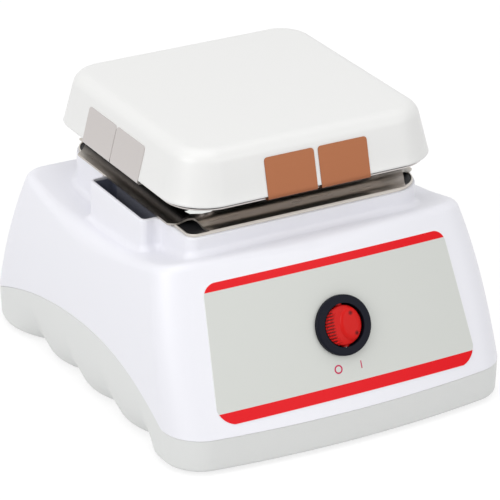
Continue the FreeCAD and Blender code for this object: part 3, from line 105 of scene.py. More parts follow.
def node(tree, kind, *inputs, **named):
    """Adds a node; plain values feed its inputs in order, named ones its properties or inputs."""
    item = tree.nodes.new(kind)
    for key, value in [*named.items(), *enumerate(inputs)]:
        if isinstance(key, str) and hasattr(item, key):
            setattr(item, key, value)
        else:
            feed(tree, item.inputs[key], value)
    return item


def calc(operation, *values):
    """One step of arithmetic on sockets or numbers, in the tree of the sockets."""
    tree = next(value for value in values if isinstance(value, bpy.types.NodeSocket)).id_data
    return node(tree, "ShaderNodeMath", *values, operation=operation).outputs[0]


# %% World, and what the camera sees directly
def grey_shader(tree, kind, grey, **values):
    """A diffuse, background or emission shader of one grey."""
    return node(tree, kind, Color=(grey, grey, grey, 1), **values).outputs[0]


def either_shader(tree, plain, direct):
    """The direct shader for rays from the camera, mirrors and glass, the plain one for scattered light."""
    path = node(tree, "ShaderNodeLightPath").outputs
    seen = calc("MAXIMUM", path["Is Camera Ray"], path["Is Glossy Ray"])
    seen = calc("MAXIMUM", seen, path["Is Transmission Ray"])
    return node(tree, "ShaderNodeMixShader", seen, plain, direct).outputs[0]


WORLD_LIGHT, WHITE_LEVEL = 0.56, 1.0
world = bpy.data.worlds.new("world")
scene.world = world
world.use_nodes = True
tree = world.node_tree
tree.nodes.clear()
sky = either_shader(tree, grey_shader(tree, "ShaderNodeBackground", 1, Strength=WORLD_LIGHT),
                    grey_shader(tree, "ShaderNodeBackground", 1, Strength=WHITE_LEVEL))
node(tree, "ShaderNodeOutputWorld", Surface=sky)
print("world light:", WORLD_LIGHT)

# %% Floor
PAPER_GREY, FAINT_GREY, PAPER_GLOW = 0.72, 0.30, 0.76
FLOOR_HALF, FLOOR_Z = 3, -0.0002
paper = bpy.data.materials.new("white paper")
paper.use_nodes = True
tree = paper.node_tree
tree.nodes.clear()
both = node(tree, "ShaderNodeAddShader", grey_shader(tree, "ShaderNodeBsdfDiffuse", FAINT_GREY),
            grey_shader(tree, "ShaderNodeEmission", 1, Strength=PAPER_GLOW)).outputs[0]
surface = either_shader(tree, grey_shader(tree, "ShaderNodeBsdfDiffuse", PAPER_GREY), both)
node(tree, "ShaderNodeOutputMaterial", Surface=surface)

floor_mesh = bpy.data.meshes.new("floor")
corners = [(x * FLOOR_HALF, y * FLOOR_HALF, FLOOR_Z) for x, y in ((-1, -1), (1, -1), (1, 1), (-1, 1))]
floor_mesh.from_pydata(corners, [], [(0, 1, 2, 3)])
floor_mesh.materials.append(paper)
floor = bpy.data.objects.new("floor", floor_mesh)
scene.collection.objects.link(floor)
print("floor corners:", len(corners))

# %% [markdown]
# ## Materials
# Each finish is a Principled shader fed by small node groups. A group is built once and is placed again
# with other values wherever the same effect shows.


# %% Helper for node groups
def new_group(name, inputs, outputs):
    """A shader node group with named inputs (name, kind, value) and outputs (name, kind)."""
    group = bpy.data.node_groups.new(name, "ShaderNodeTree")
    for label, kind, value in inputs:
        socket = group.interface.new_socket(label, in_out="INPUT", socket_type=kind)
        if value is not None:
            socket.default_value = value
    for label, kind in outputs:
        group.interface.new_socket(label, in_out="OUTPUT", socket_type=kind)
    return group, group.nodes.new("NodeGroupInput").outputs, group.nodes.new("NodeGroupOutput").inputs


# %% Helpers for materials
COAT_ROUGHNESS = 0.1


def material(name, color, roughness, metallic=0.0, coat=0.0, specular=0.5):
    """A Principled material of one colour."""
    mat = bpy.data.materials.new(name)
    mat.use_nodes = True
    for key, value in {"Base Color": (*color, 1), "Roughness": roughness, "Metallic": metallic, "Coat Weight": coat,
                       "Coat Roughness": COAT_ROUGHNESS, "Specular IOR Level": specular}.items():
        shader_of(mat).inputs[key].default_value = value
    return mat


def shader_of(mat):
    """The material's Principled node."""
    return mat.node_tree.nodes["Principled BSDF"]


def object_place(tree):
    """The surface's place in metres, as Object coordinates."""
    return tree.nodes.new("ShaderNodeTexCoord").outputs["Object"]


def with_surface(mat, group, **values):
    """Feeds a material's normal and roughness from a surface group with its own values."""
    tree = mat.node_tree
    item = node(tree, "ShaderNodeGroup", node_tree=group, Place=object_place(tree), **values)
    for name in ("Normal", "Roughness"):
        feed(tree, shader_of(mat).inputs[name], item.outputs[name])
    return mat


def bump_and_gloss(group, given, out, height, distance, variation):
    """Ends a surface group: a bump of one noise, and a roughness that varies about its middle by another."""
    bump = node(group, "ShaderNodeBump", Distance=distance, Strength=given["Depth"], Height=height)
    feed(group, out["Normal"], bump.outputs["Normal"])
    away = calc("SUBTRACT", variation, 0.5)
    feed(group, out["Roughness"], calc("MULTIPLY_ADD", away, given["Spread"], given["Roughness"]))


def dress(mat, *names):
    """Gives solids of the model a finished material."""
    for name in names:
        slots = NODES[name].data.materials
        slots.clear()
        slots.append(mat)


# %% [markdown]
# ## Moulded and painted surfaces
# Moulded plastic, the plate's ceramic coat and rubber are never quite smooth: a fine grain breaks the
# reflections, and their gloss changes slowly from place to place. Two noises do both at any size.

# %% Node group: fine grain of a moulded or painted surface
grain_group, grain_in, grain_out = new_group(
    "fine grain",
    [("Place", "NodeSocketVector", None), ("Scale", "NodeSocketFloat", 900.0),
     ("Depth", "NodeSocketFloat", 0.05), ("Roughness", "NodeSocketFloat", 0.4),
     ("Spread", "NodeSocketFloat", 0.06)],
    [("Normal", "NodeSocketVector"), ("Roughness", "NodeSocketFloat")])
fine = node(grain_group, "ShaderNodeTexNoise", Vector=grain_in["Place"], Scale=grain_in["Scale"], Detail=2.0)
broad = node(grain_group, "ShaderNodeTexNoise", Vector=grain_in["Place"], Scale=28.0, Detail=2.0)
bump_and_gloss(grain_group, grain_in, grain_out, fine.outputs["Fac"], 0.0002, broad.outputs["Fac"])


def grained(name, color, roughness, scale=900.0, depth=0.05, spread=0.06, **rest):
    """A material with the fine grain group on its normal and roughness."""
    return with_surface(material(name, color, roughness, **rest), grain_group,
                        Scale=scale, Depth=depth, Roughness=roughness, Spread=spread)


print("nodes in the grain group:", len(grain_group.nodes))

# %% Plastics, ceramic coat and rubber
HOUSING_WHITE = (0.84, 0.84, 0.89)
ceramic = grained("ceramic coat", (0.80, 0.80, 0.79), 0.34, scale=700, depth=0.03, coat=0.08)
housing_plastic = grained("white housing plastic", HOUSING_WHITE, 0.36, scale=1500, depth=0.05)
base_plastic = grained("pale grey base plastic", (0.74, 0.75, 0.74), 0.46, scale=1500, depth=0.08)
black_plastic = grained("black plastic", (0.006, 0.007, 0.014), 0.42, scale=1200, depth=0.03, specular=0.10)
rubber = grained("black rubber", (0.02, 0.02, 0.02), 0.7, scale=1200, depth=0.1)
# Near black: painted shade for the deep shadow on the lower shield's floor.
lower_floor_painted_shade = grained("near black painted shade", (0.018, 0.018, 0.020), 0.5, specular=0.25)
dress(ceramic, "heating_plate")
dress(housing_plastic, "housing")
dress(base_plastic, "base")
dress(black_plastic, "switch_body", "power_inlet")
dress(rubber, *[name for name in NODES if name.startswith("foot_")])
print("materials so far:", len(bpy.data.materials))

# %% [markdown]
# ## Bare metals
# The shields, the pan, the clips and the screws are bare. Rolled sheet has fine lines along one
# direction. The export keeps only plain gloss, so a noise stretched along X gives them as bump and gloss.

# %% Node group: fine lines of rolled and brushed sheet
brush_group, brush_in, brush_out = new_group(
    "brushed lines",
    [("Place", "NodeSocketVector", None), ("Stretch", "NodeSocketVector", (1.0, 30.0, 30.0)),
     ("Roughness", "NodeSocketFloat", 0.3), ("Spread", "NodeSocketFloat", 0.15), ("Depth", "NodeSocketFloat", 0.05)],
    [("Normal", "NodeSocketVector"), ("Roughness", "NodeSocketFloat")])
drawn = node(brush_group, "ShaderNodeVectorMath", brush_in["Place"], brush_in["Stretch"], operation="MULTIPLY")
lines = node(brush_group, "ShaderNodeTexNoise", Vector=drawn.outputs[0], Scale=60.0, Detail=3.0).outputs["Fac"]
bump_and_gloss(brush_group, brush_in, brush_out, lines, 0.0001, lines)


def brushed(name, color, roughness, spread=0.15):
    """A bare metal with brushed lines on its normal and roughness."""
    return with_surface(material(name, color, roughness, metallic=1.0), brush_group,
                        Roughness=roughness, Spread=spread)


print("nodes in the group of lines:", len(brush_group.nodes))

# %% Stainless sheets, clips and screws
SHIELD_COLOR, SHIELD_ROUGHNESS = (0.60, 0.565, 0.52), 0.30
shield_steel = brushed("shield steel", SHIELD_COLOR, SHIELD_ROUGHNESS)
bright_steel = brushed("bright steel", (0.80, 0.82, 0.80), 0.24)
brass = brushed("brass", (0.80, 0.62, 0.30), 0.25)
pan_steel = brushed("pan steel", (0.60, 0.565, 0.55), 0.30, spread=0.10)
copper_tint = brushed("heat-tinted steel", (0.32, 0.125, 0.062), 0.38, spread=0.12)
dress(shield_steel, "lower_shield")
dress(pan_steel, "plate_pan", "pressure_plate", *[name for name in NODES if "post" in name or "spacer" in name])
dress(bright_steel, "inlet_screws", "inlet_nuts", "housing_screws", "pressure_screws", "block_screws",
      "terminal_screws", "rocker_pin", "earth_nut", "thermal_cutout",
      *[name for name in NODES if name.startswith("corner_clip")])
dress(brass, "inlet_pins", "switch_terminals", "earth_stud")
print("materials so far:", len(bpy.data.materials))

# %% [markdown]
# ## Inside the housing
# The inner pieces show when the model is taken apart, so they get the finish of what they are made of.

# %% Inner pieces
LEAD_COVERS = {"live_lead": (0.2, 0.08, 0.04), "switched_lead": (0.2, 0.08, 0.04),
               "neutral_lead": (0.03, 0.09, 0.35), "element_leads": (0.75, 0.75, 0.7),
               "earth_lead": (0.15, 0.35, 0.05)}
dress(grained("mica", (0.55, 0.48, 0.32), 0.4), "upper_mica_sheet", "lower_mica_sheet")
dress(brushed("resistance alloy", (0.35, 0.33, 0.31), 0.4), "heating_ribbon")
dress(grained("ceramic wool", (0.80, 0.78, 0.72), 0.9, scale=600, depth=0.4), "insulation_pad", "lead_sleeve")
dress(grained("terminal block plastic", (0.75, 0.73, 0.68), 0.4), "terminal_block")
dress(material("lamp glass", (0.95, 0.5, 0.3), 0.1), "switch_lamp")
for name, color in LEAD_COVERS.items():
    dress(grained(name + " cover", color, 0.5), name)
print("materials so far:", len(bpy.data.materials))

# %% [markdown]
# ## The moulded housing
# The real housing is one moulding: walls that lean in, a deck that is hollow from front to back, a
# soft rim between them, and a raised platform with an open vent box at each side. Its edges change
# from crisp at the corners to soft in the middle, which one bevel can't do. So it is one surface of
# closed loops: from the platform down its foot, over the deck and rim, down to the seam and back inside.

# %% Sizes of the housing, in millimetres
BODY_HALF, BODY_DEPTH, BODY_CORNER, BOW = 73.2, 176.6, 16.0, 6.4
SPLIT, WALL_RISE, SEAM, WALL = 14.9, 54.6, 0.2, 2.6
FRONT_LEAN, BACK_LEAN = math.radians(23.2), math.radians(24.2)
SIDE_DRAW, SIDE_POWER = 5.3, 2.5
ARCH_RISE, ARCH_PEAK, ARCH_FRONT, ARCH_BACK = 16.1, -7.2, -66.7, 75.8
DECK_LOW, DECK_LOW_Y, DECK_RADIUS = 66.6, 12.0, 250.0
FRONT_SHRINK, BACK_SHRINK = 3.0, 8.0
TOP_Y, PLATFORM_TOP, PLATFORM_HALF = 1.3, 82.5, 52.6
VENT_REACH, VENT_FRONT, VENT_BACK = 60.2, -27.7, 17.4
TIGHT_CORNER, WIDE_CORNER, VENT_INNER, VENT_OUTER = 4.2, 14.0, 3.6, 2.6
FOOT, CREST, DRAFT = 2.6, 0.7, 0.2


def deck_height(y):
    """The deck's height: a cylinder that lies along X, lowest a little behind the middle."""
    return DECK_LOW + DECK_RADIUS - np.sqrt(DECK_RADIUS ** 2 - (y - DECK_LOW_Y) ** 2)


def seam_height(y):
    """The seam's height: two circular arcs that meet at the arch's peak, level outside its ends."""
    span = np.where(y < ARCH_PEAK, ARCH_PEAK - ARCH_FRONT, ARCH_BACK - ARCH_PEAK)
    radius = (span ** 2 + ARCH_RISE ** 2) / (2 * ARCH_RISE)
    drop = radius - np.sqrt(np.maximum(radius ** 2 - (y - ARCH_PEAK) ** 2, 0))
    return SPLIT + np.maximum(ARCH_RISE - drop, 0)


print("deck in the middle, mm:", round(float(deck_height(0.0)), 2))


# %% Round-cornered outlines
def unit(vectors):
    """Vectors divided by their lengths."""
    return vectors / np.linalg.norm(vectors, axis=-1, keepdims=True)


def rounded_path(corners, step):
    """A closed path through corners (x, y, radius), each cut by an arc; even points of about one step.

    An arc starts and ends a radius times the tangent of half the turn away from its corner.
    """
    points = []
    spots = np.array(corners, float)[:, :2]
    for index, (_, _, radius) in enumerate(corners):
        here = spots[index]
        before, after = unit(spots[index - 1] - here), unit(spots[(index + 1) % len(corners)] - here)
        angle = math.acos(np.clip(before @ after, -1, 1))
        reach = radius / math.tan(angle / 2)
        hub = here + unit(before + after) * radius / math.sin(angle / 2)
        start, end = here + before * reach - hub, here + after * reach - hub
        count = max(3, int(radius * (math.pi - angle) / (0.5 * step)))
        share = np.linspace(0, 1, count + 1)[:, None]
        points.append(hub + unit(start * (1 - share) + end * share) * radius)
    path = np.concatenate(points)
    pieces = []
    for start, end in zip(path, np.roll(path, -1, axis=0)):
        count = max(1, int(np.linalg.norm(end - start) / step))
        pieces.append(start + (end - start) * (np.arange(count) / count)[:, None])
    return np.concatenate(pieces)


def block_path(x0, x1, y0, y1, radii, step):
    """A rectangle's path with four round corners, from the front left one anticlockwise."""
    spots = ((x0, y0), (x1, y0), (x1, y1), (x0, y1))
    return rounded_path([(x, y, radius) for (x, y), radius in zip(spots, radii)], step)


def square_path(half, radii, step):
    """A square's path about the middle of the platform."""
    return block_path(-half, half, TOP_Y - half, TOP_Y + half, radii, step)


def path_normals(path):
    """Outward unit normals of a closed path that runs anticlockwise."""
    along = unit(np.roll(path, -1, axis=0) - np.roll(path, 1, axis=0))
    return np.stack([along[:, 1], -along[:, 0]], axis=1)


def arc_points(hub, radius, start, end, count):
    """Points of a circle's arc between two angles, without its end."""
    angle = np.linspace(start, end, count, endpoint=False)
    return np.stack([hub[0] + radius * np.cos(angle), hub[1] + radius * np.sin(angle)], axis=1)


def circle(radius, count):
    """A circle's points about the origin."""
    return arc_points((0, 0), radius, 0, 2 * math.pi, count)


# %% The wall's outline
def wall_outline(z, inset=0.0):
    """The wall's outline at one height: bowed front, straight sides and back, four round corners.

    The front is an arc of radius (half^2 + bow^2) / (2 bow), and the front corners touch it and the
    sides. Front and back lean evenly with the height, and the sides draw in as a power of it.
    """
    along = max((z - SPLIT) / WALL_RISE, 0)
    half = BODY_HALF - SIDE_DRAW * along ** SIDE_POWER - inset
    front = (z - SPLIT) * math.tan(FRONT_LEAN) - BODY_DEPTH / 2 + inset
    back = BODY_DEPTH / 2 - (z - SPLIT) * math.tan(BACK_LEAN) - inset
    near, far = BODY_CORNER - FRONT_SHRINK * along - inset, BODY_CORNER - BACK_SHRINK * along - inset
    big = (half ** 2 + BOW ** 2) / (2 * BOW)
    hub_y = front + big
    reach = half - near
    corner_y = hub_y - math.sqrt((big - near) ** 2 - reach ** 2)
    touch = math.atan2(corner_y - hub_y, reach)
    parts = [arc_points((0, hub_y), big, -math.pi - touch, touch, 160),
             arc_points((reach, corner_y), near, touch, 0, 40),
             np.linspace((half, corner_y), (half, back - far), 120, endpoint=False),
             arc_points((half - far, back - far), far, 0, math.pi / 2, 40),
             np.linspace((half - far, back), (far - half, back), 120, endpoint=False),
             arc_points((far - half, back - far), far, math.pi / 2, math.pi, 40),
             np.linspace((-half, back - far), (-half, corner_y), 120, endpoint=False),
             arc_points((-reach, corner_y), near, math.pi, math.pi - touch, 40)]
    return np.concatenate(parts)


print("points in an outline:", len(wall_outline(SPLIT)))

# %% The platform with its vent boxes
right_side = [(PLATFORM_HALF, TOP_Y - PLATFORM_HALF, WIDE_CORNER), (PLATFORM_HALF, VENT_FRONT, VENT_INNER),
              (VENT_REACH, VENT_FRONT, VENT_OUTER), (VENT_REACH, VENT_BACK, VENT_OUTER),
              (PLATFORM_HALF, VENT_BACK, VENT_INNER), (PLATFORM_HALF, TOP_Y + PLATFORM_HALF, WIDE_CORNER)]
left_side = [(-x, y, radius) for x, y, radius in right_side[:0:-1]]
platform = rounded_path([(-PLATFORM_HALF, TOP_Y - PLATFORM_HALF, TIGHT_CORNER), *right_side, *left_side], 1.0)
outward = path_normals(platform)
foot_path = platform + outward * (FOOT + DRAFT)
BEARING = np.unwrap(np.arctan2(foot_path[:, 1] - TOP_Y, foot_path[:, 0]))
print("points in a loop:", len(platform), "smallest step:", round(float(np.diff(BEARING).min()), 5))


# %% The wall by bearing and height
HEIGHTS = np.linspace(10.0, 84.0, 149)


def at_bearings(ring):
    """A closed outline's points at the platform's bearings, in proportion between its own points."""
    bearing = np.arctan2(ring[:, 1] - TOP_Y, ring[:, 0])
    order = np.argsort(bearing)
    wanted = (BEARING + math.pi) % (2 * math.pi) - math.pi
    return np.stack([np.interp(wanted, bearing[order], ring[order, axis], period=2 * math.pi) for axis in (0, 1)], 1)


def wall_table(inset):
    """The wall's points at every height of the table and every bearing from the platform's middle."""
    return np.array([at_bearings(wall_outline(z, inset)) for z in HEIGHTS])


def wall_at(table, z):
    """The wall's points at one height per bearing, between the table's heights in proportion."""
    place = np.clip((z - HEIGHTS[0]) / (HEIGHTS[1] - HEIGHTS[0]), 0, len(HEIGHTS) - 1.001)
    lower = place.astype(int)
    share = (place - lower)[:, None]
    column = np.arange(len(z))
    flat = table[lower, column] * (1 - share) + table[lower + 1, column] * share
    return np.column_stack([flat, z])


def settle(table, height_at, start):
    """The height at which the wall meets another surface, found by going back and forth a few times."""
    z = np.full(len(BEARING), start)
    for _ in range(8):
        z = height_at(wall_at(table, z)[:, 1])
    return z


OUTER, INNER = wall_table(0.0), wall_table(WALL)
rim_z = settle(OUTER, deck_height, 74.0)
seam_z = settle(OUTER, lambda y: seam_height(y) + SEAM, SPLIT)
print("rim's height up to, mm:", round(float(rim_z.max()), 1))

# %% The rim: small at the corners, soft between them
SOFT_LEAST, SOFT_MORE, SOFT_POWER = 3.0, 3.4, 1.3
rim = wall_at(OUTER, rim_z)
deck_here = deck_height(foot_path[:, 1])
foot_ring = np.column_stack([foot_path, deck_here])
sides = np.minimum(np.abs(np.sin(2 * BEARING + 0.12)), 1)
softness = SOFT_LEAST + SOFT_MORE * (1 - sides) ** SOFT_POWER
room = np.linalg.norm(rim - foot_ring, axis=1)
deck_share = np.minimum(softness * 1.25, 0.8 * room)
deck_edge = rim + (foot_ring - rim) / room[:, None] * deck_share[:, None]
deck_edge[:, 2] = deck_height(deck_edge[:, 1])
wall_edge = wall_at(OUTER, rim_z - softness)
print("rim's softness up to, mm:", round(float(softness.max()), 1))


# %% Loops of the platform and its foot
CAP_INSET = 2.0


def lifted(path, z):
    """A flat path at one height, or at one height per point."""
    return np.column_stack([path, np.broadcast_to(z, len(path))])


def rings(path, profile, z):
    """Loops of one path, drawn in and lifted by the pairs of a profile over a height."""
    out = path_normals(path)
    return [lifted(path - out * inwards, z + up) for inwards, up in profile]


def arc_steps(degrees):
    """Pairs of one less cosine and one less sine, for a quarter round."""
    return [(1 - math.cos(angle), 1 - math.sin(angle)) for angle in np.radians(degrees)]


loops = [lifted(platform - outward * CAP_INSET, PLATFORM_TOP)]
for down, away in arc_steps((0, 30, 60, 90)):
    loops.append(lifted(platform - outward * CREST * away, PLATFORM_TOP - CREST * down))
top, low = PLATFORM_TOP - CREST, deck_here + FOOT
for share in (0.35, 0.7):
    loops.append(lifted(platform + outward * DRAFT * share, top + (low - top) * share))
for away, up in arc_steps(np.linspace(0, 90, 7)[:-1]):
    loops.append(lifted(platform + outward * (DRAFT + FOOT * away), deck_here + FOOT * up))
print("loops down to the deck:", len(loops))

# %% Loops of the deck, the rim and the wall
HOLLOW_HALF, HOLLOW_CORNER = 48, 6
for share in np.linspace(0, 1, 9, endpoint=False):
    loop = foot_ring * (1 - share) + deck_edge * share
    loop[:, 2] = deck_height(loop[:, 1])
    loops.append(loop)
for share in np.linspace(0, 1, 9, endpoint=False):
    weights = np.array([(1 - share) ** 2, 1.5 * share * (1 - share), share ** 2])
    weights /= weights.sum()
    loops.append(deck_edge * weights[0] + rim * weights[1] + wall_edge * weights[2])
for share in np.linspace(0, 1, 25):
    loops.append(wall_at(OUTER, (rim_z - softness) * (1 - share) + seam_z * share))
for share in np.linspace(0, 1, 8):
    loops.append(wall_at(INNER, seam_z * (1 - share) + (rim_z - 2 * WALL) * share))
hollow = at_bearings(square_path(HOLLOW_HALF, (HOLLOW_CORNER,) * 4, 0.4))
loops += [lifted(hollow, deck_height(hollow[:, 1]) - WALL), lifted(hollow, PLATFORM_TOP - WALL)]
print("loops:", len(loops))


# %% From loops to a closed mesh
def new_piece(name, points, faces, smooth=True):
    """A mesh object from points in millimetres and faces, with its place in its mesh."""
    mesh = bpy.data.meshes.new(name)
    mesh.from_pydata((np.asarray(points) * MM).tolist(), [], faces)
    mesh.update()
    mesh.polygons.foreach_set("use_smooth", np.full(len(mesh.polygons), smooth))
    piece = bpy.data.objects.new(name, mesh)
    scene.collection.objects.link(piece)
    return piece


def loop_faces(loop_count, size):
    """Quads between closed loops, and one face over each end."""
    row, column = np.meshgrid(np.arange(loop_count - 1), np.arange(size), indexing="ij")
    after = (column + 1) % size
    quads = np.stack([row * size + column, row * size + after, (row + 1) * size + after,
                      (row + 1) * size + column], axis=-1).reshape(-1, 4)
    last = (loop_count - 1) * size
    return quads[:, ::-1].tolist() + [list(range(size)), list(range(last, last + size))[::-1]]


def loops_piece(name, loops):
    """A closed piece from loops of equal point count."""
    return new_piece(name, np.concatenate(loops), loop_faces(len(loops), len(loops[0])))


def reshaped(piece, change):
    """Runs a change over a piece's editable mesh."""
    shape = bmesh.new()
    shape.from_mesh(piece.data)
    change(shape)
    shape.to_mesh(piece.data)
    shape.free()
    return piece


def sharpen(piece, degrees=32.0):
    """Marks the edges where two faces turn by more than an angle, so that shading stays crisp there."""
    def mark(shape):
        """Splits the large end faces and marks the edges."""
        bmesh.ops.triangulate(shape, faces=[face for face in shape.faces if len(face.verts) > 4])
        for edge in shape.edges:
            edge.smooth = len(edge.link_faces) != 2 or edge.calc_face_angle(0) < math.radians(degrees)
    return reshaped(piece, mark)


def faced_outwards(piece):
    """Turns all faces of a closed piece outwards."""
    return reshaped(piece, lambda shape: bmesh.ops.recalc_face_normals(shape, faces=shape.faces))


def painted(piece, finish):
    """Gives a piece one material."""
    piece.data.materials.clear()
    piece.data.materials.append(finish)
    return piece


housing_shell = loops_piece("housing_shell", loops)
print("faces of the housing before its openings are cut:", len(housing_shell.data.polygons))


# %% Tools that cut openings
def cutter(path, z0, z1):
    """An upright tool between two heights over a path."""
    return loops_piece("cutter", [lifted(path, z1), lifted(path, z0)])


def cut_by(piece, cutters):
    """Takes cutters out of a piece, exactly, and removes them."""
    for tool in cutters:
        hole = piece.modifiers.new("hole", "BOOLEAN")
        hole.operation, hole.solver, hole.object = "DIFFERENCE", "EXACT", tool
        result = bpy.data.meshes.new_from_object(piece.evaluated_get(bpy.context.evaluated_depsgraph_get()))
        piece.modifiers.clear()
        piece.data = result
        bpy.data.objects.remove(tool)
    return piece


def slope_frame(place, lean, side):
    """A frame on a leaning wall: Z out of the wall, Y up along it. side is -1 in front and 1 behind."""
    out = Vector((0, side * math.cos(lean), math.sin(lean)))
    rise = Vector((0, -side * math.sin(lean), math.cos(lean)))
    return Matrix.Translation(place * MM) @ Matrix((rise.cross(out), rise, out)).transposed().to_4x4()


def into_frame(piece, matrix):
    """Moves a piece's mesh into a frame."""
    piece.data.transform(matrix)
    return piece


SWITCH_PLACE = Vector((0.0, -75.356, 45.1))
INLET_RISE = 24.0
INLET_PLACE = Vector((0.0, BODY_DEPTH / 2 - INLET_RISE * math.tan(BACK_LEAN), SPLIT + INLET_RISE))
FRONT_FRAME, REAR_FRAME = slope_frame(SWITCH_PLACE, FRONT_LEAN, -1), slope_frame(INLET_PLACE, BACK_LEAN, 1)
print("inlet at, mm:", [round(value, 1) for value in INLET_PLACE])

# %% Vent trenches, switch hole and inlet opening
TRENCH_MIDDLE, TRENCH_HALF, TRENCH_FRONT, TRENCH_BACK, TRENCH_FLOOR = 54.2, 4.9, -26.6, 16.3, 68.0
SWITCH_HOLE, INLET_HALF_X, INLET_HALF_Y = 10.05, 15.5, 11.3
tools = [cutter(block_path(middle - TRENCH_HALF, middle + TRENCH_HALF, TRENCH_FRONT, TRENCH_BACK, (1.6,) * 4, 4.0),
                TRENCH_FLOOR, 90) for middle in (-TRENCH_MIDDLE, TRENCH_MIDDLE)]
tools.append(into_frame(cutter(circle(SWITCH_HOLE, 96), -12, 6), FRONT_FRAME))
inlet_path = block_path(-INLET_HALF_X, INLET_HALF_X, -INLET_HALF_Y, INLET_HALF_Y, (2.0,) * 4, 4.0)
tools.append(into_frame(cutter(inlet_path, -12, 8), REAR_FRAME))
painted(sharpen(cut_by(housing_shell, tools)), housing_plastic)
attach(housing_shell, "stand")
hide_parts("housing")
print("triangles in the housing:", sum(len(face.vertices) - 2 for face in housing_shell.data.polygons))

# %% [markdown]
# ## The grey base
# A shallow tray closes the housing from below. Its upper edge follows the seam's arch, and the finger
# grips along its sides fade out quickly upwards. One outline is drawn in by so much at each height.

# %% Sizes of the base and the grips along its sides
GRIP_MIDDLE, GRIP_PITCH, GRIP_DEPTH, GRIP_BULGE, GRIP_FADE = -1.2, 31.2, 7.5, 4.2, 3.8
GRIP_FRONT, GRIP_BACK, FACES_SIDE = -66.0, 74.0, 0.97
FLOOR_UNDER, FLOOR_TOP, BASE_ROUND = 1.5, 3.9, 1.2
BASE_STEP, BASE_DRAFT, BASE_RISE, BASE_EDGE = 0.2, 0.4, 13.4, 0.25
WELL_X, WELL_Y, WELL_RADIUS, WELL_TOP = 55.0, 50.0, 3.3, 6.9


def grip_depth(y):
    """How far the scallops cut in along Y: straight from notch to notch, less a parabola's bulge."""
    notches = [(GRIP_MIDDLE + (n - 1.5) * GRIP_PITCH, GRIP_DEPTH) for n in range(4)]
    ends = [(GRIP_FRONT, 0.0)] + notches + [(GRIP_BACK, 0.0)]
    depth = np.zeros_like(y)
    for (y0, in0), (y1, in1) in zip(ends, ends[1:]):
        share = np.clip((y - y0) / (y1 - y0), 0, 1)
        swell = GRIP_BULGE * min(1, (y1 - y0) / GRIP_PITCH)
        cut = in0 + (in1 - in0) * share - swell * 4 * share * (1 - share)
        depth = np.where((y >= y0) & (y <= y1), cut, depth)
    return depth


reference = wall_outline(SPLIT)
reference = reference[np.linalg.norm(reference - np.roll(reference, -1, axis=0), axis=1) > 1e-6]
ref_out = path_normals(reference)
on_side = np.clip((np.abs(ref_out[:, 0]) - FACES_SIDE) / (1 - FACES_SIDE), 0, 1)
scallop = grip_depth(reference[:, 1]) * on_side
print("deepest grip, mm:", round(float(scallop.max()), 2))


# %% Loops of the base
def base_loop(z, inset=0.0):
    """The base's outline at one height per point, drawn in by step, draft, rounding, scallop and inset."""
    rise = np.maximum(z - FLOOR_UNDER, 0)
    draft = BASE_DRAFT * np.maximum(0, 1 - rise / BASE_RISE) ** 1.5
    under = np.maximum(0, 1 - rise / BASE_ROUND)
    rounding = BASE_ROUND * (1 - np.sqrt(np.maximum(1 - under ** 2, 0)))
    grip = scallop * np.maximum(0, 1 - rise / (BASE_RISE + ARCH_RISE)) ** GRIP_FADE
    drawn = BASE_STEP + draft + rounding + grip + inset
    return np.column_stack([reference - ref_out * drawn[:, None], z])


def drawn_in(loop):
    """A loop at half its size about the platform's middle, which an end face can cover."""
    middle = np.array([0.0, TOP_Y])
    return np.column_stack([middle + (loop[:, :2] - middle) * 0.5, loop[:, 2]])


seam_top = seam_height(reference[:, 1])
flat = np.full(len(reference), 1.0)
floor_loop = base_loop(flat * FLOOR_TOP, WALL)
base_loops = [drawn_in(floor_loop), floor_loop]
for share in (0.15, 0.4, 0.7, 1.0):
    base_loops.append(base_loop(FLOOR_TOP + (seam_top - FLOOR_TOP) * share, WALL))
base_loops.append(base_loop(seam_top, BASE_EDGE))
for share in np.linspace(0, 1, 22):
    base_loops.append(base_loop((seam_top - BASE_EDGE) * (1 - share) + (FLOOR_UNDER + BASE_ROUND) * share))
for angle in np.radians((25, 50, 70, 90)):
    base_loops.append(base_loop(flat * (FLOOR_UNDER + BASE_ROUND * (1 - math.sin(angle)))))
base_loops.append(drawn_in(base_loops[-1]))
print("base loops:", len(base_loops), "of", len(reference))

# %% The base with its screw wells
base_tray = loops_piece("base_tray", base_loops)
wells = [into_frame(cutter(circle(WELL_RADIUS, 32), -1, WELL_TOP), Matrix.Translation(Vector((x, y, 0)) * MM))
         for x in (-WELL_X, WELL_X) for y in (-WELL_Y, WELL_Y)]
painted(sharpen(cut_by(base_tray, wells)), base_plastic)
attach(base_tray, "stand")
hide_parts("base")
print("faces of the base:", len(base_tray.data.polygons))

# %% [markdown]
# ## The hot plate
# The plate is a casting with leaning sides and a generous rounding of its upper edge, coated white.
# A square with round corners, drawn in along one profile, gives it from the flat top to the cavity.

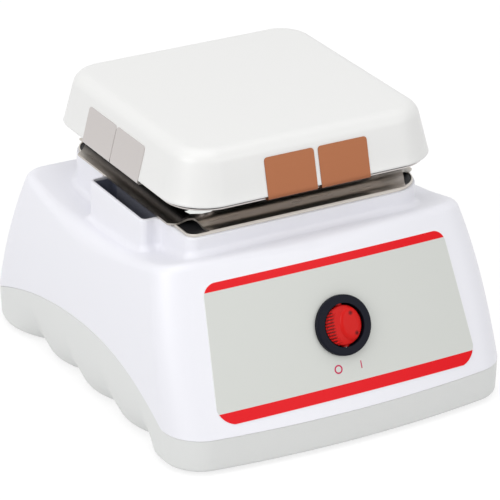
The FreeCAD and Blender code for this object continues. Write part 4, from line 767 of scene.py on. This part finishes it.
# %% The plate's profile, as pairs of draw-in and height
PLATE_Z, PLATE_HALF, PLATE_CORNER, PLATE_RISE, PLATE_ROUND = 95.1, 57.5, 18.5, 20.8, 6.4
LEAN, LOWER_ROUND, TOP_INSET, PATH_STEP = math.radians(14.5), 0.75, 3.0, 1.4
SIDE_IN = math.tan(LEAN)
CAVITY = [(8.2, 0.0), (8.6, 0.4), (9.2, 12.6), (9.8, 13.0)]
arc_in = (PLATE_RISE - PLATE_ROUND) * SIDE_IN + PLATE_ROUND / math.cos(LEAN)
profile = [(arc_in + TOP_INSET, PLATE_RISE)]
profile += [(arc_in - PLATE_ROUND * math.cos(angle), PLATE_RISE - PLATE_ROUND + PLATE_ROUND * math.sin(angle))
            for angle in np.linspace(math.pi / 2, LEAN, 14)]
profile += [(SIDE_IN * z, z) for z in (9.0, 5.0, 1.0)]
profile += [(LOWER_ROUND * away, LOWER_ROUND * down) for away, down in arc_steps((20, 45, 70, 90))]
profile += CAVITY

plate_loops = rings(square_path(PLATE_HALF, (PLATE_CORNER,) * 4, PATH_STEP), profile, PLATE_Z)
plate_cast = painted(sharpen(loops_piece("plate_cast", plate_loops), 60.0), ceramic)
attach(plate_cast, "stand")
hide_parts("heating_plate")
print("plate loops:", len(plate_loops), "of", len(plate_loops[0]))

# %% [markdown]
# ## The pan and its tabs
# One stainless sheet closes the plate from below, and eight tabs are folded up its sides. A tab is a
# strip along one bent profile, with round upper corners. Those in front have the copper brown of an
# oxide film from the heat.

# %% The bent profile of a tab
PAN_Z, SHEET, PAN_HALF, PAN_CORNER = 93.5, 0.6, 55.5, 16.5
TAB_GAP, TAB_CORNER, TAB_START = 0.27, 1.4, 3.5
BEND_OUT, BEND_UP, BEND_DROP = 1.25, 1.15, 0.35


def tab_rows(width, height):
    """Rings of four points round a strip: out of the panel, round a bend and up the leaning side.

    An arc draws in its half width at the two upper corners.
    """
    up, out = np.array([math.sin(LEAN), math.cos(LEAN)]), np.array([-math.cos(LEAN), math.sin(LEAN)])
    foot = np.array([TOP_Y - PLATE_HALF, PLATE_Z])
    low = foot + out * TAB_GAP - up * BEND_DROP
    bend = [(low[0] + BEND_OUT - BEND_OUT * math.cos(angle), low[1] - BEND_UP * math.sin(angle))
            for angle in np.radians((80, 55, 30, 8))]
    shoulder = height - TAB_CORNER
    rises = [0.3, *np.linspace(1.0, shoulder, 3), *shoulder + TAB_CORNER * np.sin(np.radians((20, 40, 60, 75, 90)))]
    spots = [(foot[0] + TAB_START, PAN_Z), *bend, *[foot + out * TAB_GAP + up * rise for rise in rises]]
    along = unit(np.gradient(spots, axis=0))
    inner = spots + np.column_stack([along[:, 1], -along[:, 0]]) * SHEET
    over = np.clip((np.array([0] * (len(spots) - len(rises)) + rises) - shoulder) / TAB_CORNER, 0, 1)
    half = width / 2 - TAB_CORNER * (1 - np.sqrt(1 - over ** 2))
    return [np.array([[-h, *a], [h, *a], [h, *b], [-h, *b]]) for h, a, b in zip(half, spots, inner)]


def turned(points, quarter):
    """Points turned about the plate's upright axis by quarter turns."""
    angle = quarter * math.pi / 2
    x, y = points[:, 0], points[:, 1] - TOP_Y
    return np.column_stack([x * math.cos(angle) - y * math.sin(angle),
                            x * math.sin(angle) + y * math.cos(angle) + TOP_Y, points[:, 2]])


print("rings in a tab:", len(tab_rows(23.0, 15.2)))

# %% The panel and the eight tabs, as quarter: width, gap of a pair, shift, height and finish
FRONT, RIGHT, BACK, LEFT = range(4)
TAB_PAIRS = {FRONT: (21.4, 1.8, 0.8, 15.2, copper_tint), BACK: (21.4, 1.8, 0.0, 15.2, pan_steel),
             LEFT: (23.0, 0.45, -2.4, 14.0, pan_steel), RIGHT: (23.0, 0.45, 0.0, 15.2, pan_steel)}
PANEL_PROFILE = ((6, SHEET), (0.1, SHEET), (0, 0.5), (0, 0.1), (0.1, 0), (6, 0))
panel_loops = rings(square_path(PAN_HALF, (PAN_CORNER,) * 4, PATH_STEP), PANEL_PROFILE, PAN_Z)
pan_pieces = [painted(sharpen(loops_piece("pan_panel", panel_loops)), pan_steel)]
for quarter, (width, gap, shift, height, finish) in TAB_PAIRS.items():
    for sign, word in ((-1, "left"), (1, "right")):
        aside = np.array([shift + sign * (width + gap) / 2, 0, 0])
        rows = [turned(row + aside, quarter) for row in tab_rows(width, height)]
        tab = faced_outwards(loops_piece(f"pan_tab_{quarter}_{word}", rows))
        pan_pieces.append(painted(sharpen(tab), finish))
for item in pan_pieces:
    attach(item, "stand")
    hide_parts("plate_pan")
print("pieces of the pan:", len(pan_pieces))

# %% [markdown]
# ## The corner clips
# At each corner a small bright clip sits between the shield and the pan. What shows is a low web with
# a tongue that bends up at its outer end: a thin outline, mirrored from corner to corner.

# %% Corner clips
CLIP_TURN, CLIP_X, CLIP_Y, CLIP_HALF = math.radians(-14.0), -44.4, -47.4, 0.4
WEB = np.array([(-6.6, 91.3), (-4.6, 90.1), (0.0, 89.7), (3.4, 90.1), (5.6, 91.2),
                (6.4, 93.55), (4.6, 93.55), (3.6, 92.3), (0.0, 91.8), (-4.0, 92.0)])
along, height = np.tile(WEB, (2, 1)).T
depth = np.repeat((-CLIP_HALF, CLIP_HALF), len(WEB))
clip_x = along * math.cos(CLIP_TURN) - depth * math.sin(CLIP_TURN) + CLIP_X
clip_y = along * math.sin(CLIP_TURN) + depth * math.cos(CLIP_TURN) + CLIP_Y
for word, side_x, side_y in (("front_left", -1, -1), ("front_right", 1, -1),
                             ("back_right", 1, 1), ("back_left", -1, 1)):
    placed = np.column_stack([-side_x * clip_x, -side_y * clip_y + TOP_Y, height])
    clip = faced_outwards(new_piece("clip_" + word, placed, loop_faces(2, len(WEB)), smooth=False))
    painted(clip, bright_steel)
    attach(clip, "stand")
    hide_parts("corner_clip_" + word)
print("clip's middle from the plate's, mm:", CLIP_X, CLIP_Y)

# %% [markdown]
# ## The lower shield
# A thin steel sheet lies on the platform and has the same corners. A bright lip stands along its edge,
# and its floor, painted near black as shade under the upper shield, is a piece of its own.

# %% Lower shield, as pairs of draw-in and height
LIP = ((1.6, 0.6), (1.5, 0.95), (1.35, 1.15), (1.0, 1.15), (0.8, 0.95), (0.8, 0.15), (0.9, 0.0), (2.0, 0.0))
FLOOR = ((4.0, 0.72), (1.45, 0.72), (1.45, 0.3), (4.0, 0.3))
sheet_path = square_path(PLATFORM_HALF, (TIGHT_CORNER, WIDE_CORNER, WIDE_CORNER, WIDE_CORNER), 1.0)
# The lower shield's floor takes the near black of painted shade under the upper shield.
for name, section, finish in (("lower_lip", LIP, shield_steel), ("lower_floor", FLOOR, lower_floor_painted_shade)):
    item = painted(sharpen(loops_piece(name, rings(sheet_path, section, PLATFORM_TOP))), finish)
    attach(item, "stand")
    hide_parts("lower_shield")
print("points round the lower shield:", len(sheet_path))

# %% [markdown]
# ## The red rocker
# The real rocker is a translucent red shell. Here it is a round cap: ribs and a thin rim stand on its
# pressed half, a large oval pad on its raised half, and its pin's ends show above and below.

# %% Surfaces that stand on the rocker's face
FACE_Z, CAP_RADIUS, SUNK = 1.75, 7.75, 0.05
PRESSED, RAISED = -1, 1


def on_face(points, side):
    """Points over the rocker's cap (x out from the middle, y, lift) set on its level face, in mm."""
    return np.column_stack([side * points[:, 0], points[:, 1], points[:, 2] + FACE_Z])


def dome(half_x, half_y, middle_x, height, power, rings=14, count=48):
    """A low dome on an ellipse: its height is (1 - r^power) of the full height, sunk a little at the edge."""
    loops = []
    for radius in np.linspace(1, 0.02, rings):
        flat = circle(radius, count) * (half_x, half_y) + (middle_x, 0.0)
        loops.append(lifted(flat, height * (1 - radius ** power) - SUNK))
    return loops


def bar_loops(y, x_in, x_out, half_width, height, count=16):
    """A rounded bar along a face: half-ellipse sections that shrink to its two ends."""
    along = np.linspace(-1, 1, 9)
    scale = np.sqrt(np.maximum(1 - along ** 6, 0.03))
    section = circle(1, count)
    middle, half = (x_in + x_out) / 2, (x_out - x_in) / 2
    return [np.column_stack([np.full(count, middle + half * place), y + half_width * size * section[:, 0],
                             height * size * section[:, 1]]) for place, size in zip(along, scale)]


# %% Cap, ribs, pad and pin ends
CAP_PROFILE = ((CAP_RADIUS - 3, FACE_Z), (CAP_RADIUS - 0.6, FACE_Z), (CAP_RADIUS - 0.2, FACE_Z - 0.15),
               (CAP_RADIUS, FACE_Z - 0.6), (CAP_RADIUS, -1.5), (7.5, -3.4), (6.6, -5.0), (3.0, -5.0))
RIB_FIRST, RIB_LAST, RIB_PITCH, RIB_REACH, RIB_LENGTH, RIB_INNER = 4.9, -5.9, 1.2, 7.55, 3.0, 2.2
PIN_RADIUS, PIN_DEPTH, PIN_ENDS = 1.5, -0.4, ((6.6, 8.3), (-8.3, -6.6))
rocker_parts = [[lifted(circle(reach, 72), z) for reach, z in CAP_PROFILE]]
for y in np.arange(RIB_FIRST, RIB_LAST, -RIB_PITCH):
    outer = math.sqrt(RIB_REACH ** 2 - y ** 2)
    rib = bar_loops(y, max(outer - RIB_LENGTH, RIB_INNER), outer, 0.34, 0.55)
    rocker_parts.append([on_face(loop, PRESSED) for loop in rib])
rocker_parts.append([on_face(loop, RAISED) for loop in dome(4.55, 6.6, 2.75, 1.0, power=9.0)])
pin = circle(PIN_RADIUS, 32) + (0, PIN_DEPTH)
for ends in PIN_ENDS:
    rocker_parts.append([np.column_stack([pin[:, 0], np.full(len(pin), end), pin[:, 1]]) for end in ends])
print("ribs, cap, pad and pin ends:", len(rocker_parts))

# %% The rim, and one mesh of all parts
RIM_TURN, RIM_RADIUS, RIM_LIFT, RIM_HALF_X, RIM_HALF_Z = math.radians(62), 7.82, 0.12, 0.22, 0.26
section = circle(1, 10)
reach, lift = RIM_RADIUS + RIM_HALF_X * section[:, 0], RIM_LIFT + RIM_HALF_Z * section[:, 1]
rocker_parts.append([on_face(np.column_stack([reach * math.cos(bearing), reach * math.sin(bearing), lift]), PRESSED)
                     for bearing in np.linspace(-RIM_TURN, RIM_TURN, 40)])
points, faces = [], []
for part in rocker_parts:
    start = sum(len(block) for block in points)
    points += part
    faces += [[start + index for index in face] for face in loop_faces(len(part), len(part[0]))]
rocker_face = faced_outwards(new_piece("rocker_face", np.concatenate(points), faces))
sharpen(into_frame(rocker_face, FRONT_FRAME), 50.0)
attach(rocker_face, "rocker")
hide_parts("switch_rocker")
print("parts on the rocker:", len(rocker_parts))

# %% [markdown]
# ## The printed front
# The front's film is printed in warm grey, with two red bands, a thin white border and the switch's
# off and on marks: colours by place across and up the slope, measured from the switch.

# %% Two coordinates on the slope, as a group
DIRECTIONS = {"Across": (1.0, 0.0, 0.0), "Rise": (0.0, math.sin(FRONT_LEAN), math.cos(FRONT_LEAN))}
slope_group, slope_in, slope_out = new_group(
    "place on the slope", [("Place", "NodeSocketVector", None)],
    [("Across", "NodeSocketFloat"), ("Rise", "NodeSocketFloat")])
step = node(slope_group, "ShaderNodeVectorMath", slope_in["Place"], SWITCH_PLACE * MM, operation="SUBTRACT")
for name, direction in DIRECTIONS.items():
    part = node(slope_group, "ShaderNodeVectorMath", step.outputs[0], direction, operation="DOT_PRODUCT")
    feed(slope_group, slope_out[name], calc("DIVIDE", part.outputs["Value"], MM))


def place_on_slope(tree):
    """The surface's place across and up the slope, in millimetres from the switch."""
    spot = node(tree, "ShaderNodeGroup", node_tree=slope_group, Place=object_place(tree))
    return spot.outputs["Across"], spot.outputs["Rise"]


print("nodes in the slope's group:", len(slope_group.nodes))


# %% Masks and layers of print
def inside(distance, edge, soft=0.06):
    """1 where a distance is under an edge, with a short ramp across it."""
    return node(distance.id_data, "ShaderNodeMapRange", distance, edge + soft, edge - soft).outputs["Result"]


def beyond(value, edge, soft=0.06):
    """1 where a value is over an edge, with a short ramp across it."""
    return inside(calc("MULTIPLY", value, -1.0), -edge, soft)


def away_from(value, middle):
    """How far a value is from a middle, without its sign."""
    return calc("ABSOLUTE", calc("SUBTRACT", value, middle))


def length_of(x, y):
    """The length of a step: the root of the sum of the squares."""
    return calc("SQRT", calc("ADD", calc("POWER", x, 2.0), calc("POWER", y, 2.0)))


def spot_distance(x, y, spot):
    """The distance from a spot."""
    return length_of(calc("SUBTRACT", x, spot[0]), calc("SUBTRACT", y, spot[1]))


def rounded_distance(x, y, half_x, half_y, middle_y, corner):
    """Distance outside a round-cornered rectangle: the length of the positive parts, less the corner."""
    over_x = calc("MAXIMUM", calc("SUBTRACT", calc("ABSOLUTE", x), half_x - corner), 0.0)
    over_y = calc("MAXIMUM", calc("SUBTRACT", away_from(y, middle_y), half_y - corner), 0.0)
    return calc("SUBTRACT", length_of(over_x, over_y), corner)


def layer(under, mask, color):
    """One colour over another where a mask is 1."""
    tree = mask.id_data
    item = node(tree, "ShaderNodeMix", mask, data_type="RGBA")
    feed(tree, item.inputs[6], (*under, 1) if isinstance(under, tuple) else under)
    feed(tree, item.inputs[7], (*color, 1))
    return item.outputs[2]


def color_by(mat, color):
    """Feeds a material's colour from a socket."""
    feed(mat.node_tree, shader_of(mat).inputs["Base Color"], color)


# %% Film, bands and marks
FILM_GREY, BAND_RED = (0.655, 0.67, 0.64), (0.78, 0.004, 0.010)
MARK_RED, BORDER = (0.55, 0.015, 0.09), (0.86, 0.86, 0.88)
UPPER_BAND, LOWER_BAND = 23.4, -22.1
OFF_MARK, OFF_RADIUS, OFF_HALF = (-5.0, -16.1), 1.45, 0.30
ON_MARK, ON_HALF_X, ON_HALF_Y = (5.0, -16.3), 0.24, 1.5
film = grained("printed film", FILM_GREY, 0.34, scale=1500, depth=0.02, specular=0.16)
tree = film.node_tree
across, rise = place_on_slope(tree)
band = calc("MAXIMUM", beyond(rise, UPPER_BAND), inside(rise, LOWER_BAND))
ink = layer(FILM_GREY, band, BAND_RED)
from_ring = away_from(spot_distance(across, rise, OFF_MARK), OFF_RADIUS)
ink = layer(ink, inside(from_ring, OFF_HALF), MARK_RED)
bar_x = calc("SUBTRACT", away_from(across, ON_MARK[0]), ON_HALF_X)
bar_y = calc("SUBTRACT", away_from(rise, ON_MARK[1]), ON_HALF_Y)
ink = layer(ink, inside(calc("MAXIMUM", bar_x, bar_y), 0.0), MARK_RED)
print("nodes in the film so far:", len(tree.nodes))

# %% Border of the film, which narrows upwards
FILM_MIDDLE, FILM_HALF_X, FILM_HALF_Y, FILM_CORNER, BORDER_WIDTH = -0.15, 55.15, 27.05, 5.0, 0.25
NARROWING = (57.5 - 52.8) / (27.2 + 26.9)
narrower = calc("MULTIPLY", calc("SUBTRACT", rise, FILM_MIDDLE), NARROWING)
wide = calc("ADD", calc("ABSOLUTE", across), narrower)
edge = rounded_distance(wide, rise, FILM_HALF_X, FILM_HALF_Y, FILM_MIDDLE, FILM_CORNER)
ink = layer(ink, beyond(edge, -BORDER_WIDTH, 0.1), BORDER)
color_by(film, ink)
dress(film, "front_label")
print("nodes in the film:", len(tree.nodes))

# %% [markdown]
# ## The red of the rocker
# The shell's red is deep and clear. It is darker between the ribs, painted shade in the gaps, and in two
# small marks on the pad.

# %% Red of the rocker
RED, DARK_RED, DARKENING = (0.62, 0.010, 0.008), (0.05, 0.002, 0.003), 0.85
PAD_MARKS, PAD_MARK_RADIUS, RIBS_EDGE = ((3.2, 4.1), (4.4, -3.9)), 0.75, -3.9
rocker_red = grained("red rocker", RED, 0.30, scale=900, depth=0.03, specular=0.12)
tree = rocker_red.node_tree
across, rise = place_on_slope(tree)
# Painted shade in the gaps between the ribs. The pad's two marks are darker too.
from_rib = calc("PINGPONG", calc("SUBTRACT", rise, RIB_FIRST), RIB_PITCH / 2)
rib_gap_painted_shade = inside(calc("SUBTRACT", RIB_PITCH, from_rib), 0.82, 0.1)
mark = calc("MULTIPLY", rib_gap_painted_shade, inside(across, RIBS_EDGE, 0.4))
for spot in PAD_MARKS:
    here = inside(spot_distance(across, rise, spot), PAD_MARK_RADIUS, 0.4)
    mark = calc("MAXIMUM", mark, here)
color_by(rocker_red, layer(RED, calc("MULTIPLY", mark, DARKENING), DARK_RED))
dress(rocker_red, "switch_rocker")
painted(rocker_face, rocker_red)
print("nodes in the rocker's red:", len(tree.nodes))

# %% [markdown]
# ## Painted shade inside the upper shield
# Little light falls between plate and shield, so the steel is painted dark there: painted shade, and the
# painted reflection of the plate's dark underside. It is a ramp over the distance inwards from the lip,
# which starts further out at the sides than in front.


# %% Painted shade inside the upper shield
def place_in_mm(tree):
    """The surface's place along X, Y and Z in millimetres."""
    part = node(tree, "ShaderNodeSeparateXYZ", object_place(tree))
    return [calc("MULTIPLY", part.outputs[axis], 1000.0) for axis in range(3)]


LIP_X, LIP_Y, RAMP_MIDDLE, RAMP_HALF = 55.0, 46.5, 3.6, 2.8
# The near black is painted shade and a painted reflection of the plate's dark underside. The lip keeps the steel's
# colour.
SHIELD_PAINTED_SHADE, LIP_COLOR = (0.012, 0.011, 0.011), (0.56, 0.52, 0.47)
shaded_upper_shield_steel = brushed("upper shield steel", SHIELD_COLOR, SHIELD_ROUGHNESS)
tree = shaded_upper_shield_steel.node_tree
place_x, place_y, _ = place_in_mm(tree)
off_x = calc("SUBTRACT", calc("ABSOLUTE", place_x), LIP_X)
off_y = calc("SUBTRACT", away_from(place_y, TOP_Y), LIP_Y)
inward = calc("MULTIPLY", calc("MAXIMUM", off_x, off_y), -1.0)
color_by(shaded_upper_shield_steel, layer(SHIELD_PAINTED_SHADE, inside(inward, RAMP_MIDDLE, RAMP_HALF), LIP_COLOR))
dress(shaded_upper_shield_steel, "heat_shield")
print("nodes in the upper shield's steel:", len(tree.nodes))

# %% [markdown]
# ## Painted shade inside the vents
# Little light reaches deep into the open vent boxes. The housing's plastic is painted a dark slate there,
# as painted shade: a mask of distances from the trench's middle, in millimetres.

# %% Painted shade inside the vents, as the mask's middle, half size and softness along each axis
VENT_MASK = ((TRENCH_MIDDLE, 5.0, 0.15), (-5.15, 21.6, 0.15), (74.0, 7.6, 0.3))
# Painted shade: the dark slate stands in for the shade deep inside the vent boxes.
VENT_PAINTED_SHADE = (0.15, 0.16, 0.22)
tree = housing_plastic.node_tree
place_x, place_y, place_z = place_in_mm(tree)
masks = [inside(away_from(place, middle), half, soft)
         for place, (middle, half, soft) in zip((calc("ABSOLUTE", place_x), place_y, place_z), VENT_MASK)]
in_vent = calc("MULTIPLY", calc("MULTIPLY", masks[0], masks[1]), masks[2])
color_by(housing_plastic, layer(HOUSING_WHITE, in_vent, VENT_PAINTED_SHADE))
print("nodes in the housing's plastic:", len(tree.nodes))
